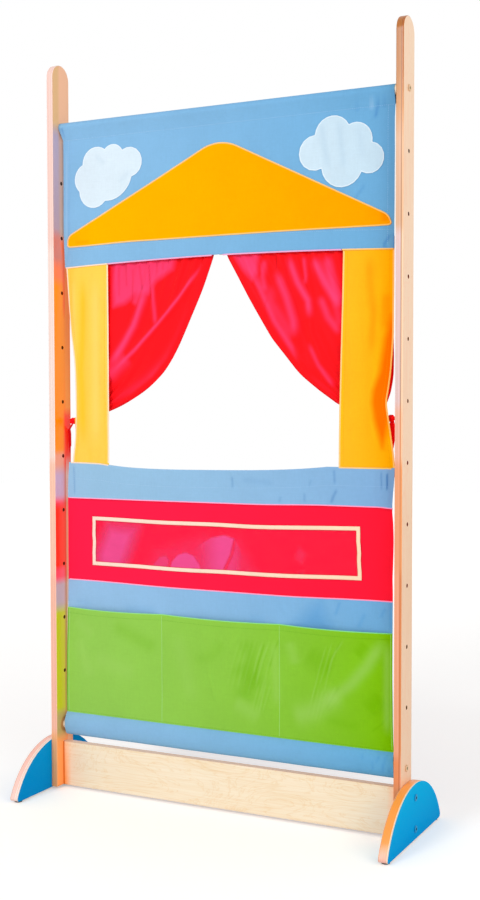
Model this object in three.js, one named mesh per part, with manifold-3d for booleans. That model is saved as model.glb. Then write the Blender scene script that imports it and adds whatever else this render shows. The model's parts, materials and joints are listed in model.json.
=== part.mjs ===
import * as THREE from 'three';
import { mergeVertices } from 'three/addons/utils/BufferGeometryUtils.js';
import Module from 'manifold-3d';

// A puppet theater stand. Two plywood uprights stand on half-moon feet and are tied by a low rail.
// A cloth front hangs between two rods, with a stage window, tied-back curtains and pockets.
// Millimetres, +Z up, the audience at -Y, the puppeteer at +Y and the floor at zero.

// Fits
const fit_gap = 0.3;
const cut_overrun = 1;
const weld_tolerance = 0.0001;

// Uprights
const clear_width = 744;
const board_thickness = 15;
const board_edge_round = 1.5;
const upright_length = 1500;
const upright_depth = 58;
const upright_above_floor = 5;

// Row of rod holes down each upright
const rod_hole_count = 12;
const rod_hole_diameter = 8;
const rod_hole_margin = 128.5;

// Half-moon feet
const foot_length = 294;
const foot_height = 104;
const foot_core_thickness = 16;
const foot_tip_round = 6;
const laminate_thickness = 1;

// Glides nailed under the tips of the feet
const glide_diameter = 16;
const glide_height = 3;
const glide_edge_round = 1.2;
const glide_setback = 15;
const glide_nail_diameter = 2.6;
const glide_nail_length = 14;

// Rail
const rail_height = 93;
const rail_thickness = 15;

// Bolts, with the nuts and inserts that they pull on
const bolt_diameter = 6;
const bolt_hole_diameter = 7;
const bolt_head_diameter = 13;
const bolt_head_height = 2;
const bolt_head_round = 0.8;
const bolt_socket_width = 4.6;
const bolt_socket_sides = 6;
const bolt_socket_depth = 1.4;
const bolt_tip_chamfer = 0.8;
const foot_bolt_spacing = 58.6;
const foot_bolt_reach = 38;
const barrel_nut_diameter = 10;
const barrel_nut_length = 12;
const barrel_nut_setback = 30;
const barrel_nut_recess = 0.5;
const barrel_nut_slot_width = 1.4;
const barrel_nut_slot_depth = 1.2;
const rod_bolt_reach = 30;
const insert_diameter = 10;
const insert_length = 25;

// Rods
const rod_diameter = 18;
const rod_end_chamfer = 1;
const rod_bore_depth = 34;

// Cloth as a whole: it has slid a little to the left on its rods
const cloth_thickness = 1;
const cloth_side_play = 20;
const cloth_slide_share = -0.2;
const sleeve_flare_share = 0.7;

// Where the side edges are drawn in: shares of the rods' spacing up, and of the cloth's width in
const left_edge_shares = [
  [0.2, 0.001], [0.25, 0.006], [0.38, 0.009], [0.44, 0.02], [0.49, 0.028], [0.52, 0.031],
  [0.6, 0.029], [0.68, 0.016], [0.76, 0.007], [0.83, 0],
];
const right_edge_shares = [
  [0.45, 0], [0.48, 0.005], [0.51, 0.012], [0.54, 0.019], [0.57, 0.016], [0.62, 0.008], [0.67, 0],
];

// Banner with its sleeve and valance
const sleeve_slack = 0.4;
const sleeve_drop = 26;
const banner_drop = 282;
const valance_end_dip = 8;

// Gable and its piping, sewn to the banner
const gable_side_margin = 9;
const gable_height = 189;
const gable_wall_height = 19;
const gable_above_valance = 38;
const gable_offset = 3;
const gable_apex_round = 70;
const gable_shoulder_round = 15;
const gable_base_round = 2;
const applique_thickness = 1;
const piping_width = 2.6;
const piping_thickness = 2;

// Clouds: their size, how far their middles stand in from the cloth's edge and above the valance
const left_cloud_width = 160;
const left_cloud_height = 123;
const left_cloud_setback = 110;
const left_cloud_rise = 176;
const right_cloud_width = 168;
const right_cloud_height = 131;
const right_cloud_setback = 103;
const right_cloud_rise = 181;

// Cloud outlines as notches and the crowns between them, in shares of the cloud's size
const left_cloud_shares = [
  [-0.05, -0.4], [0.23, -0.28], [0.34, -0.04], [0.48, 0.28], [0.21, 0.39], [0.09, 0.5],
  [-0.05, 0.43], [-0.29, 0.44], [-0.38, 0.21], [-0.5, 0], [-0.43, -0.22], [-0.24, -0.5],
];
const right_cloud_shares = [
  [-0.23, -0.21], [0.02, -0.5], [0.24, -0.34], [0.49, -0.18], [0.36, 0.06], [0.31, 0.3],
  [0.09, 0.35], [-0.11, 0.5], [-0.31, 0.25], [-0.5, 0.06],
];

// Yellow strips at the sides of the stage window
const strip_width = 106;
const strip_upper_lap = 18;
const strip_lower_lap = 12;
const strip_fold_depth = 7;
const strip_fold_width = 34;
const strip_fold_length = 150;
const strip_fold_setback = 26;

// Lower cloth, from its foot up
const hem_drop = 18;
const hem_rise = 27;
const backing_height = 280;
const red_band_height = 171;
const waist_band_height = 74;
const waist_sag = 9;

// Puppet pockets: one front, sewn down at its edges and along two seams
const pocket_height = 219;
const pocket_count = 3;
const pocket_seam_spacing = 263;
const pocket_seam_offset = 1;
const pocket_mouth_bulge = 11;
const pocket_mouth_sag = 5;

// Card window on the red band
const card_window_margin = 64;
const card_window_height = 100;
const card_window_rise = 34;
const card_window_offset = 3;
const card_tape_width = 9;
const card_tape_thickness = 0.8;
const card_film_thickness = 0.4;
const card_film_tuck = 3;

// Curtains, gathered on a tape behind the valance
const heading_tape_height = 20;
const heading_tape_thickness = 1;
const heading_tape_rise = 5;
const heading_lap = 18;
const heading_depth = 8;
const curtain_parting = 24;
const curtain_parting_offset = -10;
const curtain_side_setback = 9;
const curtain_swell_depth = 14;
const curtain_fold_count = 5;
const curtain_cloth_thickness = 1.4;
const gather_power = 6;

// Leading edges, as two handles of a curve in shares of the curtain's reach and drop
const left_lead_shares = [[0.176, 0.525], [0.463, 0.955]];
const right_lead_shares = [[0.235, 0.48], [0.511, 0.917]];

// The waist that each tie gives its curtain, and the tail below it
const left_tie_rise = 86;
const left_tie_setback = 21;
const right_tie_rise = 94;
const right_tie_setback = 28;
const bundle_width = 22;
const bundle_depth = 13;
const bundle_clearance = 3.5;
const tail_width = 46;
const tail_lead_length = 32;
const tail_side_length = 185;
const tail_depth = 16;

// Ties and the sewn loops that hold them
const ribbon_width = 15;
const ribbon_thickness = 1.2;
const ribbon_slack = 1.2;
const ribbon_end_length = 44;
const ribbon_end_width = 11;
const knot_width = 9;
const knot_depth = 12;
const knot_height = 12;
const tie_loop_width = 14;
const tie_loop_thickness = 2;

// Steps that round forms are made in
const arc_steps = 22;
const small_arc_steps = 3;
const shaft_sides = 12;
const rod_sides = 20;
const sleeve_steps = 10;
const banner_columns = 12;
const banner_rows = 5;
const strip_columns = 8;
const strip_rows = 16;
const pocket_columns = 8;
const pocket_rows = 8;
const band_columns = 12;
const curtain_columns = 28;
const curtain_fan_rows = 12;
const curtain_tail_rows = 5;
const lobe_steps = 6;
const knot_sides = 8;
const knot_rings = 6;

// Heights and edges that follow from the sizes above
const upper_rod_z = upright_above_floor + upright_length - rod_hole_margin;
const lower_rod_z = upright_above_floor + rod_hole_margin;
const rail_z = upright_above_floor + rail_height / 2;
const outer_face_x = clear_width / 2 + board_thickness + foot_core_thickness + 2 * laminate_thickness;
const cloth_width = clear_width - cloth_side_play;
const cloth_x = cloth_side_play * cloth_slide_share;
const left_play = cloth_side_play / 2 + cloth_x;
const gable_width = cloth_width - 2 * gable_side_margin;
const stage_width = cloth_width - 2 * strip_width;
const card_window_width = cloth_width - 2 * card_window_margin;
const hem_top_z = lower_rod_z + hem_rise;
const backing_top_z = hem_top_z + backing_height;
const red_top_z = backing_top_z + red_band_height;
const waist_top_z = red_top_z + waist_band_height;
const valance_z = upper_rod_z - banner_drop;
const heading_z = valance_z + heading_lap;

// Layers of cloth from the audience's side back, each a gap from the next
const cloth_front_y = -cloth_thickness / 2;
const cloth_back_y = cloth_thickness / 2;
const strip_y = cloth_back_y + fit_gap + cloth_thickness / 2;
const behind_strip_y = strip_y + cloth_thickness / 2 + fit_gap;
const heading_tape_back_y = behind_strip_y + heading_tape_thickness;
const ribbon_inside_depth = (bundle_depth + curtain_cloth_thickness) / 2 + ribbon_slack;
const ribbon_front_y = behind_strip_y + tie_loop_thickness + fit_gap;
const bundle_y = ribbon_front_y + ribbon_thickness + ribbon_inside_depth;
const curtain_top_y = heading_tape_back_y + fit_gap + (heading_depth + curtain_cloth_thickness) / 2;

const wasm = await Module();
wasm.setup();

// A closed mesh as a solid that can be cut, and back
function solidOf(geometry) {
  const bare = new THREE.BufferGeometry();
  bare.setAttribute('position', geometry.getAttribute('position'));
  bare.setIndex(geometry.index);
  const merged = mergeVertices(bare, weld_tolerance);
  const corners = Array.from(merged.index.array);
  const kept = [];
  for (let i = 0; i < corners.length; i += 3) {
    const [a, b, c] = corners.slice(i, i + 3);
    if (a !== b && b !== c && c !== a) kept.push(a, b, c);
  }
  const vertProperties = new Float32Array(merged.getAttribute('position').array);
  return new wasm.Manifold(new wasm.Mesh({ numProp: 3, vertProperties, triVerts: new Uint32Array(kept) }));
}

function geometryOf(solid) {
  const found = solid.getMesh();
  const geometry = new THREE.BufferGeometry();
  geometry.setAttribute('position', new THREE.BufferAttribute(new Float32Array(found.vertProperties), 3));
  geometry.setIndex(new THREE.BufferAttribute(new Uint32Array(found.triVerts), 1));
  return geometry;
}

function cut(body, tools) {
  return geometryOf(tools.reduce((solid, tool) => solid.subtract(solidOf(tool)), solidOf(body)));
}

function join(pieces) {
  return geometryOf(pieces.map(solidOf).reduce((whole, piece) => whole.add(piece)));
}

// Points along an arc, from one angle to another
function arc(centre_x, centre_y, radius, from, to, steps) {
  return Array.from({ length: steps + 1 }, (_, i) => {
    const angle = THREE.MathUtils.lerp(from, to, i / steps);
    return new THREE.Vector2(centre_x + radius * Math.cos(angle), centre_y + radius * Math.sin(angle));
  });
}

// A polygon with each corner rounded to its own radius
function roundedOutline(corners, radii, steps) {
  return corners.flatMap((corner, i) => {
    const before = corners.at(i - 1).clone().sub(corner).normalize();
    const after = corners[(i + 1) % corners.length].clone().sub(corner).normalize();
    const half = Math.acos(before.dot(after)) / 2;
    const inwards = before.clone().add(after).normalize();
    const centre = inwards.multiplyScalar(radii[i] / Math.sin(half)).add(corner);
    const first = before.multiplyScalar(radii[i] / Math.tan(half)).add(corner).sub(centre).angle();
    const turn = Math.PI - 2 * half;
    return arc(centre.x, centre.y, radii[i], first, first + turn, steps);
  });
}

// An outline in the side view, drawn as y and z, made a board that runs towards +X
function boardAlongX(outline, thickness, holes = []) {
  const shape = new THREE.Shape(outline);
  shape.holes = holes.map((points) => new THREE.Path(points));
  const geometry = new THREE.ExtrudeGeometry(shape, { depth: thickness, bevelEnabled: false });
  const side_view = new THREE.Matrix4().set(0, 0, 1, 0, 1, 0, 0, 0, 0, 1, 0, 0, 0, 0, 0, 1);
  return geometry.applyMatrix4(side_view);
}

// The same with all its edges rounded over
function roundedBoardAlongX(outline, thickness, edge) {
  const shape = new THREE.Shape(outline);
  const geometry = new THREE.ExtrudeGeometry(shape, {
    depth: thickness - 2 * edge, bevelEnabled: true, bevelThickness: edge, bevelSize: edge,
    bevelOffset: -edge, bevelSegments: 2,
  });
  const side_view = new THREE.Matrix4().set(0, 0, 1, edge, 1, 0, 0, 0, 0, 1, 0, 0, 0, 0, 0, 1);
  return geometry.applyMatrix4(side_view);
}

// An outline in the front view, drawn as x and z, made a flat piece between two depths
function flatPiece(outline, front_y, back_y, holes = []) {
  const shape = new THREE.Shape(outline);
  shape.holes = holes.map((points) => new THREE.Path(points));
  const geometry = new THREE.ExtrudeGeometry(shape, { depth: back_y - front_y, bevelEnabled: false });
  return geometry.rotateX(Math.PI / 2).translate(0, back_y, 0);
}

// A profile of radius and length turned about the X axis
function turnedAlongX(profile, sides) {
  const points = profile.map(([radius, along]) => new THREE.Vector2(radius, along));
  return new THREE.LatheGeometry(points, sides).rotateZ(-Math.PI / 2);
}

function cylinderAlong(axis, diameter, length, sides) {
  const geometry = new THREE.CylinderGeometry(diameter / 2, diameter / 2, length, sides);
  if (axis === 'x') geometry.rotateZ(Math.PI / 2);
  if (axis === 'z') geometry.rotateX(Math.PI / 2);
  return geometry;
}

// A thin closed piece from a rule that places a point of its front (-1) or back (+1) face
function sheet(columns, rows, place) {
  const points = [];
  for (const side of [-1, 1]) {
    for (let row = 0; row <= rows; row += 1) {
      for (let column = 0; column <= columns; column += 1) {
        points.push(...place(column / columns, row / rows, side));
      }
    }
  }
  const across = columns + 1;
  const layer = across * (rows + 1);
  const corner = (column, row) => row * across + column;
  const faces = [];
  for (let row = 0; row < rows; row += 1) {
    for (let column = 0; column < columns; column += 1) {
      const [a, b] = [corner(column, row), corner(column + 1, row)];
      const [c, d] = [corner(column + 1, row + 1), corner(column, row + 1)];
      faces.push(a, b, c, a, c, d);
      faces.push(layer + a, layer + c, layer + b, layer + a, layer + d, layer + c);
    }
  }
  const rim = [];
  for (let column = 0; column < columns; column += 1) rim.push(corner(column, 0));
  for (let row = 0; row < rows; row += 1) rim.push(corner(columns, row));
  for (let column = columns; column > 0; column -= 1) rim.push(corner(column, rows));
  for (let row = rows; row > 0; row -= 1) rim.push(corner(0, row));
  rim.forEach((p, i) => {
    const q = rim[(i + 1) % rim.length];
    faces.push(q, p, layer + p, q, layer + p, layer + q);
  });
  const geometry = new THREE.BufferGeometry();
  geometry.setAttribute('position', new THREE.Float32BufferAttribute(points, 3));
  geometry.setIndex(faces);
  return geometry;
}

// A smooth hump that is one at zero and nothing beyond a reach of one
function hump(distance) {
  return Math.abs(distance) < 1 ? Math.cos(distance * Math.PI / 2) ** 2 : 0;
}

const mix = THREE.MathUtils.lerp;

// How far a side edge stands in from the cloth's full width at a height
function edgeInset(shares, z) {
  const height = (z - lower_rod_z) / (upper_rod_z - lower_rod_z);
  const [first, last] = [shares[0], shares.at(-1)];
  if (height <= first[0]) return first[1] * cloth_width;
  if (height >= last[0]) return last[1] * cloth_width;
  const i = shares.findIndex(([share]) => share > height);
  const [below, above] = [shares[i - 1], shares[i]];
  return cloth_width * mix(below[1], above[1], (height - below[0]) / (above[0] - below[0]));
}

function leftEdge(z) {
  return cloth_x - cloth_width / 2 + edgeInset(left_edge_shares, z);
}

function rightEdge(z) {
  return cloth_x + cloth_width / 2 - edgeInset(right_edge_shares, z);
}

function acrossCloth(u, z) {
  return mix(leftEdge(z), rightEdge(z), u);
}

// The valance's hem hangs lower towards its ends, and the waist band sags between the strips
function valanceEdge(x) {
  return valance_z - valance_end_dip * ((x - cloth_x) / (cloth_width / 2)) ** 2;
}

function waistEdge(x) {
  const share = Math.min(Math.abs(x - cloth_x) / (stage_width / 2), 1);
  return waist_top_z - waist_sag * (1 - share ** 2);
}

// Uprights, rail and feet
function upright() {
  const half = upright_depth / 2;
  const top = upright_length - half;
  const outline = [
    new THREE.Vector2(-half, 0), new THREE.Vector2(half, 0), ...arc(0, top, half, 0, Math.PI, arc_steps),
  ];
  const board = roundedBoardAlongX(outline, board_thickness, board_edge_round);
  const drills = [];
  const hole_length = board_thickness + 2 * cut_overrun;
  const pitch = (upright_length - 2 * rod_hole_margin) / (rod_hole_count - 1);
  for (let hole = 0; hole < rod_hole_count; hole += 1) {
    const drill = cylinderAlong('x', rod_hole_diameter, hole_length, shaft_sides);
    drills.push(drill.translate(board_thickness / 2, 0, rod_hole_margin + hole * pitch));
  }
  for (const z of footBoltHeights()) {
    const drill = cylinderAlong('x', bolt_hole_diameter, hole_length, shaft_sides);
    drills.push(drill.translate(board_thickness / 2, 0, z - upright_above_floor));
  }
  return cut(board, drills);
}

function footBoltHeights() {
  return [rail_z - foot_bolt_spacing / 2, rail_z + foot_bolt_spacing / 2];
}

// A half moon with its two tips rounded, above its own base line
function footOutline() {
  const tip_y = foot_length / 2 - foot_tip_round;
  const rise = foot_height - foot_tip_round;
  const radius = (tip_y ** 2 + rise ** 2 - foot_tip_round ** 2) / (2 * (rise - foot_tip_round));
  const centre_z = foot_height - radius;
  const lean = Math.atan2(foot_tip_round - centre_z, tip_y);
  return [
    ...arc(tip_y, foot_tip_round, foot_tip_round, -Math.PI / 2, lean, small_arc_steps),
    ...arc(0, centre_z, radius, lean, Math.PI - lean, arc_steps).slice(1, -1),
    ...arc(-tip_y, foot_tip_round, foot_tip_round, Math.PI - lean, 1.5 * Math.PI, small_arc_steps),
  ];
}

function footBoard(thickness) {
  const radius = bolt_hole_diameter / 2;
  const holes = footBoltHeights().map((z) => arc(0, z - glide_height, radius, 2 * Math.PI, 0, shaft_sides));
  return boardAlongX(footOutline(), thickness, holes.map((points) => points.slice(1)));
}

function glideSpots() {
  const y = foot_length / 2 - glide_setback;
  return [-y, y];
}

function footCore() {
  const depth = glide_nail_length + fit_gap;
  const bores = glideSpots().map((y) => {
    const bore = cylinderAlong('z', glide_nail_diameter + 2 * fit_gap, depth + cut_overrun, shaft_sides);
    return bore.translate(foot_core_thickness / 2, y, (depth - cut_overrun) / 2);
  });
  return cut(footBoard(foot_core_thickness), bores);
}

function glide() {
  const [pad, nail] = [glide_diameter / 2, glide_nail_diameter / 2];
  const round = glide_edge_round;
  const rim = arc(pad - round, round, round, -Math.PI / 2, 0, small_arc_steps);
  const profile = [
    new THREE.Vector2(0, 0), ...rim, new THREE.Vector2(pad, glide_height),
    new THREE.Vector2(nail, glide_height), new THREE.Vector2(nail, glide_height + glide_nail_length - nail),
    new THREE.Vector2(0, glide_height + glide_nail_length),
  ];
  return new THREE.LatheGeometry(profile, shaft_sides).rotateX(Math.PI / 2);
}

// Where a barrel nut lies in the rail: its back face, its front face and its distance from the middle
const nut_back_y = rail_thickness / 2 - barrel_nut_recess;
const nut_front_y = nut_back_y - barrel_nut_length;
const nut_x = clear_width / 2 - barrel_nut_setback;

function rail() {
  const [half_y, half_z] = [rail_thickness / 2, rail_height / 2];
  const corners = [[-half_y, -half_z], [half_y, -half_z], [half_y, half_z], [-half_y, half_z]];
  const outline = roundedOutline(
    corners.map(([y, z]) => new THREE.Vector2(y, z)), corners.map(() => board_edge_round), small_arc_steps,
  );
  const board = boardAlongX(outline, clear_width).translate(-clear_width / 2, 0, rail_z);
  const bore_length = foot_bolt_reach + fit_gap + cut_overrun;
  const bore_x = clear_width / 2 + cut_overrun - bore_length / 2;
  const pocket_front = nut_front_y - fit_gap;
  const pocket_length = half_y + cut_overrun - pocket_front;
  const tools = [-1, 1].flatMap((side) => footBoltHeights().flatMap((z) => [
    cylinderAlong('x', bolt_hole_diameter, bore_length, shaft_sides).translate(side * bore_x, 0, z),
    cylinderAlong('y', barrel_nut_diameter + 2 * fit_gap, pocket_length, shaft_sides)
      .translate(side * nut_x, pocket_front + pocket_length / 2, z),
  ]));
  return cut(board, tools);
}

function barrelNut() {
  const body = cylinderAlong('y', barrel_nut_diameter, barrel_nut_length, shaft_sides)
    .translate(0, (nut_back_y + nut_front_y) / 2, 0);
  const across = barrel_nut_diameter + 2 * cut_overrun;
  const thread = cylinderAlong('x', bolt_diameter + 2 * fit_gap, across, shaft_sides);
  const slot_depth = barrel_nut_slot_depth + cut_overrun;
  const slot = new THREE.BoxGeometry(barrel_nut_slot_width, slot_depth, across)
    .translate(0, nut_back_y + cut_overrun - slot_depth / 2, 0);
  return cut(body, [thread, slot]);
}

// A bolt whose head lies on the face at zero and whose shank runs towards -X
function bolt(shank_length) {
  const [head, shank] = [bolt_head_diameter / 2, bolt_diameter / 2];
  const round = bolt_head_round;
  const rim = arc(bolt_head_height - round, head - round, round, Math.PI / 2, 0, small_arc_steps);
  const profile = [
    [0, -shank_length], [shank - bolt_tip_chamfer, -shank_length], [shank, bolt_tip_chamfer - shank_length],
    [shank, 0], [head, 0], ...rim.map((point) => [point.y, point.x]), [0, bolt_head_height],
  ];
  const socket = new THREE.CylinderGeometry(
    bolt_socket_width / 2, bolt_socket_width / 2, bolt_socket_depth + cut_overrun, bolt_socket_sides,
  ).rotateZ(Math.PI / 2).translate(bolt_head_height + (cut_overrun - bolt_socket_depth) / 2, 0, 0);
  return cut(turnedAlongX(profile, shaft_sides), [socket]);
}

// Rods with a blind bore in each end, and the threaded inserts in the bores
function rod() {
  const [radius, half] = [rod_diameter / 2, clear_width / 2];
  const bore = insert_diameter / 2 + fit_gap;
  const floor = half - rod_bore_depth;
  const shoulder = half - rod_end_chamfer;
  return turnedAlongX([
    [0, -floor], [bore, -floor], [bore, -half], [radius - rod_end_chamfer, -half], [radius, -shoulder],
    [radius, shoulder], [radius - rod_end_chamfer, half], [bore, half], [bore, floor], [0, floor],
  ], rod_sides);
}

function rodInsert() {
  const [inner, outer] = [bolt_diameter / 2 + fit_gap, insert_diameter / 2];
  return turnedAlongX([
    [inner, -insert_length], [outer, -insert_length], [outer, 0], [inner, 0], [inner, -insert_length],
  ], shaft_sides);
}

// The sleeve's section: from the stitch line up the front, over the rod and down behind it
function sleevePath() {
  const radius = rod_diameter / 2 + sleeve_slack + cloth_thickness / 2;
  const lean = Math.acos(radius / sleeve_drop);
  const stitch_z = upper_rod_z - sleeve_drop;
  const over = arc(0, upper_rod_z, radius, 1.5 * Math.PI - lean, lean - Math.PI / 2, sleeve_steps);
  return [new THREE.Vector2(0, stitch_z), ...over, new THREE.Vector2(cloth_thickness + fit_gap, stitch_z)];
}

function banner() {
  const path = sleevePath();
  const rows = banner_rows + path.length - 1;
  const stitch_z = path[0].y;
  const flare = left_play * sleeve_flare_share;
  return sheet(banner_columns, rows, (u, v, side) => {
    const row = Math.round(v * rows);
    const reach = side * cloth_thickness / 2;
    if (row < banner_rows) {
      const x = acrossCloth(u, mix(valance_z, stitch_z, row / banner_rows));
      return [x, reach, mix(valanceEdge(x), stitch_z, row / banner_rows)];
    }
    const here = path[row - banner_rows];
    const before = path[row - banner_rows - 1] ?? new THREE.Vector2(0, valance_z);
    const after = path[row - banner_rows + 1] ?? here.clone().multiplyScalar(2).sub(before);
    const into = here.clone().sub(before).normalize();
    const along = after.clone().sub(here).normalize().add(into).normalize();
    const risen = Math.min((here.y - stitch_z) / sleeve_drop, 1);
    const x = acrossCloth(u, here.y) - flare * (1 - u) * risen;
    return [x, here.x + reach * along.y, here.y - reach * along.x];
  });
}

// Gable: a low roof on short walls, with a round apex
function gableOutline(grow) {
  const half = gable_width / 2 + grow;
  const middle = cloth_x + gable_offset;
  const base = valance_z + gable_above_valance - grow;
  const pitch = Math.atan2(gable_height - gable_wall_height, gable_width / 2);
  const shoulder = base + gable_wall_height + grow + grow * Math.tan(Math.PI / 4 - pitch / 2);
  const apex = base + grow + gable_height + grow / Math.cos(pitch);
  const corners = [[-half, base], [half, base], [half, shoulder], [0, apex], [-half, shoulder]];
  const rounds = [
    gable_base_round, gable_base_round, gable_shoulder_round, gable_apex_round, gable_shoulder_round,
  ].map((round) => round + grow);
  const spots = corners.map(([x, z]) => new THREE.Vector2(middle + x, z));
  return roundedOutline(spots, rounds, small_arc_steps * 2);
}

const applique_back_y = cloth_front_y - fit_gap;

function gable() {
  return flatPiece(gableOutline(0), applique_back_y - applique_thickness, applique_back_y);
}

function piping() {
  const outer = gableOutline(fit_gap + piping_width);
  const inner = gableOutline(fit_gap).reverse();
  return flatPiece(outer, applique_back_y - piping_thickness, applique_back_y, [inner]);
}

// Cloud: round lobes, each an arc from notch to notch over its crown
function cloudOutline(shares, middle_x, middle_z, width, height) {
  const spots = shares.map(([x, z]) => new THREE.Vector2(middle_x + x * width, middle_z + z * height));
  const outline = [];
  for (let i = 0; i < spots.length; i += 2) {
    outline.push(...arcThrough(spots[i], spots[i + 1], spots[(i + 2) % spots.length]).slice(0, -1));
  }
  return outline;
}

function arcThrough(start, crown, end) {
  const [ax, ay] = [crown.x - start.x, crown.y - start.y];
  const [bx, by] = [end.x - start.x, end.y - start.y];
  const cross = 2 * (ax * by - ay * bx);
  const [a2, b2] = [ax * ax + ay * ay, bx * bx + by * by];
  const centre = new THREE.Vector2(by * a2 - ay * b2, ax * b2 - bx * a2).divideScalar(cross).add(start);
  const from = start.clone().sub(centre).angle();
  let to = end.clone().sub(centre).angle();
  if (to < from) to += 2 * Math.PI;
  return arc(centre.x, centre.y, start.distanceTo(centre), from, to, lobe_steps);
}

function cloud(shares, side, setback, rise, width, height) {
  const middle_x = cloth_x + side * (cloth_width / 2 - setback);
  const outline = cloudOutline(shares, middle_x, valance_z + rise, width, height);
  return flatPiece(outline, applique_back_y - applique_thickness, applique_back_y);
}

// Yellow strips, drawn in where the ties pull, with a fold that dies away above the waist band
function strip(side, tie_z) {
  const inner_x = cloth_x + side * stage_width / 2;
  const edge = side < 0 ? leftEdge : rightEdge;
  return sheet(strip_columns, strip_rows, (u, v, face) => {
    const z = mix(waist_top_z - strip_lower_lap, valance_z + strip_upper_lap, v);
    const outer_x = edge(z);
    const x = side < 0 ? mix(outer_x, inner_x, u) : mix(inner_x, outer_x, u);
    const from_fold = (Math.abs(outer_x - x) - strip_fold_setback) / strip_fold_width;
    const reach = z > tie_z ? strip_fold_length : tie_z - waist_top_z;
    const fold = strip_fold_depth * hump(from_fold) * hump((z - tie_z) / reach);
    return [x, strip_y - fold + face * cloth_thickness / 2, z];
  });
}

// Flat bands of the lower cloth, from seam to seam
function band(bottom, top, topEdge = () => top) {
  return sheet(band_columns, 1, (u, v, side) => {
    const x = acrossCloth(u, mix(bottom, top, v));
    return [x, side * cloth_thickness / 2, mix(bottom, topEdge(x), v)];
  });
}

// Pocket front: it bulges towards its mouth between the seams, and the mouth sags
function pocketFront() {
  const seam_x = pocket_seam_spacing / 2;
  const middle = cloth_x + pocket_seam_offset;
  const bottom = hem_top_z + fit_gap;
  const top = hem_top_z + pocket_height;
  return sheet(pocket_columns * pocket_count, pocket_rows, (u, v, side) => {
    const pocket = Math.min(Math.floor(u * pocket_count), pocket_count - 1);
    const share = u * pocket_count - pocket;
    const level = mix(bottom, top, v);
    const seams = [leftEdge(level), middle - seam_x, middle + seam_x, rightEdge(level)];
    const swell = Math.sin(Math.PI * share);
    const bulge = pocket_mouth_bulge * swell * Math.sin(v * Math.PI / 2);
    const front = cloth_front_y - fit_gap - cloth_thickness / 2 - bulge;
    const z = level - pocket_mouth_sag * swell * v;
    return [mix(seams[pocket], seams[pocket + 1], share), front + side * cloth_thickness / 2, z];
  });
}

// Hem: a loose sleeve round the lower rod, hung from the seam above
function hem() {
  const width = rod_diameter / 2 + sleeve_slack;
  const top = hem_top_z - fit_gap - lower_rod_z;
  const ring = (grow) => {
    const [reach, foot] = [width + grow, hem_drop - cloth_thickness + grow];
    const peak = top - cloth_thickness + grow;
    const lower = arc(0, 0, 1, -Math.PI, 0, arc_steps / 2).map(
      ({ x, y }) => new THREE.Vector2(x * reach, lower_rod_z + y * foot),
    );
    const upper = arc(0, 0, 1, 0, Math.PI, arc_steps / 2).slice(1, -1).map(
      ({ x, y }) => new THREE.Vector2(x * reach * Math.sqrt(Math.abs(x)), lower_rod_z + y * peak),
    );
    return [...lower, ...upper];
  };
  const length = rightEdge(lower_rod_z) - leftEdge(lower_rod_z);
  const tube = boardAlongX(ring(cloth_thickness), length, [ring(0).reverse()]);
  return tube.translate(leftEdge(lower_rod_z), 0, 0);
}

// Card window: clear film held to the red band by a frame of tape
function frameOutline(inset) {
  const middle = cloth_x + card_window_offset;
  const half = card_window_width / 2 - inset;
  const bottom = backing_top_z + card_window_rise + inset;
  const top = bottom + card_window_height - 2 * inset;
  const corners = [[-half, bottom], [half, bottom], [half, top], [-half, top]];
  return corners.map(([x, z]) => new THREE.Vector2(middle + x, z));
}

const film_back_y = cloth_front_y - fit_gap;
const tape_back_y = film_back_y - card_film_thickness - fit_gap;

function cardFilm() {
  return flatPiece(frameOutline(card_film_tuck), film_back_y - card_film_thickness, film_back_y);
}

function cardTape() {
  const opening = frameOutline(card_tape_width).reverse();
  return flatPiece(frameOutline(0), tape_back_y - card_tape_thickness, tape_back_y, [opening]);
}

// What each curtain hangs from, leans to and is tied at. Distances run outwards from its leading edge
function curtainPlan(side) {
  const left = side < 0;
  const lead_x = cloth_x + curtain_parting_offset + side * curtain_parting / 2;
  const side_x = cloth_x + side * (cloth_width / 2 - curtain_side_setback);
  const tie_x = cloth_x + side * (cloth_width / 2 - (left ? left_tie_setback : right_tie_setback));
  const tie_z = waist_top_z + (left ? left_tie_rise : right_tie_rise);
  const neck_top = tie_z + ribbon_width / 2 + bundle_clearance;
  const neck_bottom = tie_z - ribbon_width / 2 - bundle_clearance;
  const handle_shares = left ? left_lead_shares : right_lead_shares;
  return { side, lead_x, side_x, tie_x, tie_z, neck_top, neck_bottom, handle_shares };
}

// Across a curtain s runs from its leading edge to its side; each rule gives x, z and fold depth
function fanSpot(plan, s, v) {
  const { side, lead_x, side_x, tie_x, neck_top, handle_shares } = plan;
  const end_x = tie_x - side * bundle_width / 2;
  const handles = handle_shares.map(([out, down]) => new THREE.Vector2(
    mix(lead_x, end_x, out), mix(heading_z, neck_top, down),
  ));
  const curve = new THREE.CubicBezierCurve(
    new THREE.Vector2(lead_x, heading_z), handles[0], handles[1], new THREE.Vector2(end_x, neck_top),
  );
  const lead = curve.getPoint(v);
  const outer_x = mix(side_x, tie_x + side * bundle_width / 2, v);
  const gathering = v ** gather_power;
  const swell = mix(heading_depth, curtain_swell_depth, Math.sin(v * Math.PI / 2));
  const depth = mix(swell, bundle_depth * Math.sqrt(Math.max(1 - (2 * s - 1) ** 2, 0)), gathering);
  return [mix(lead.x, outer_x, s), mix(lead.y, mix(heading_z, neck_top, v), s), depth];
}

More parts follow.
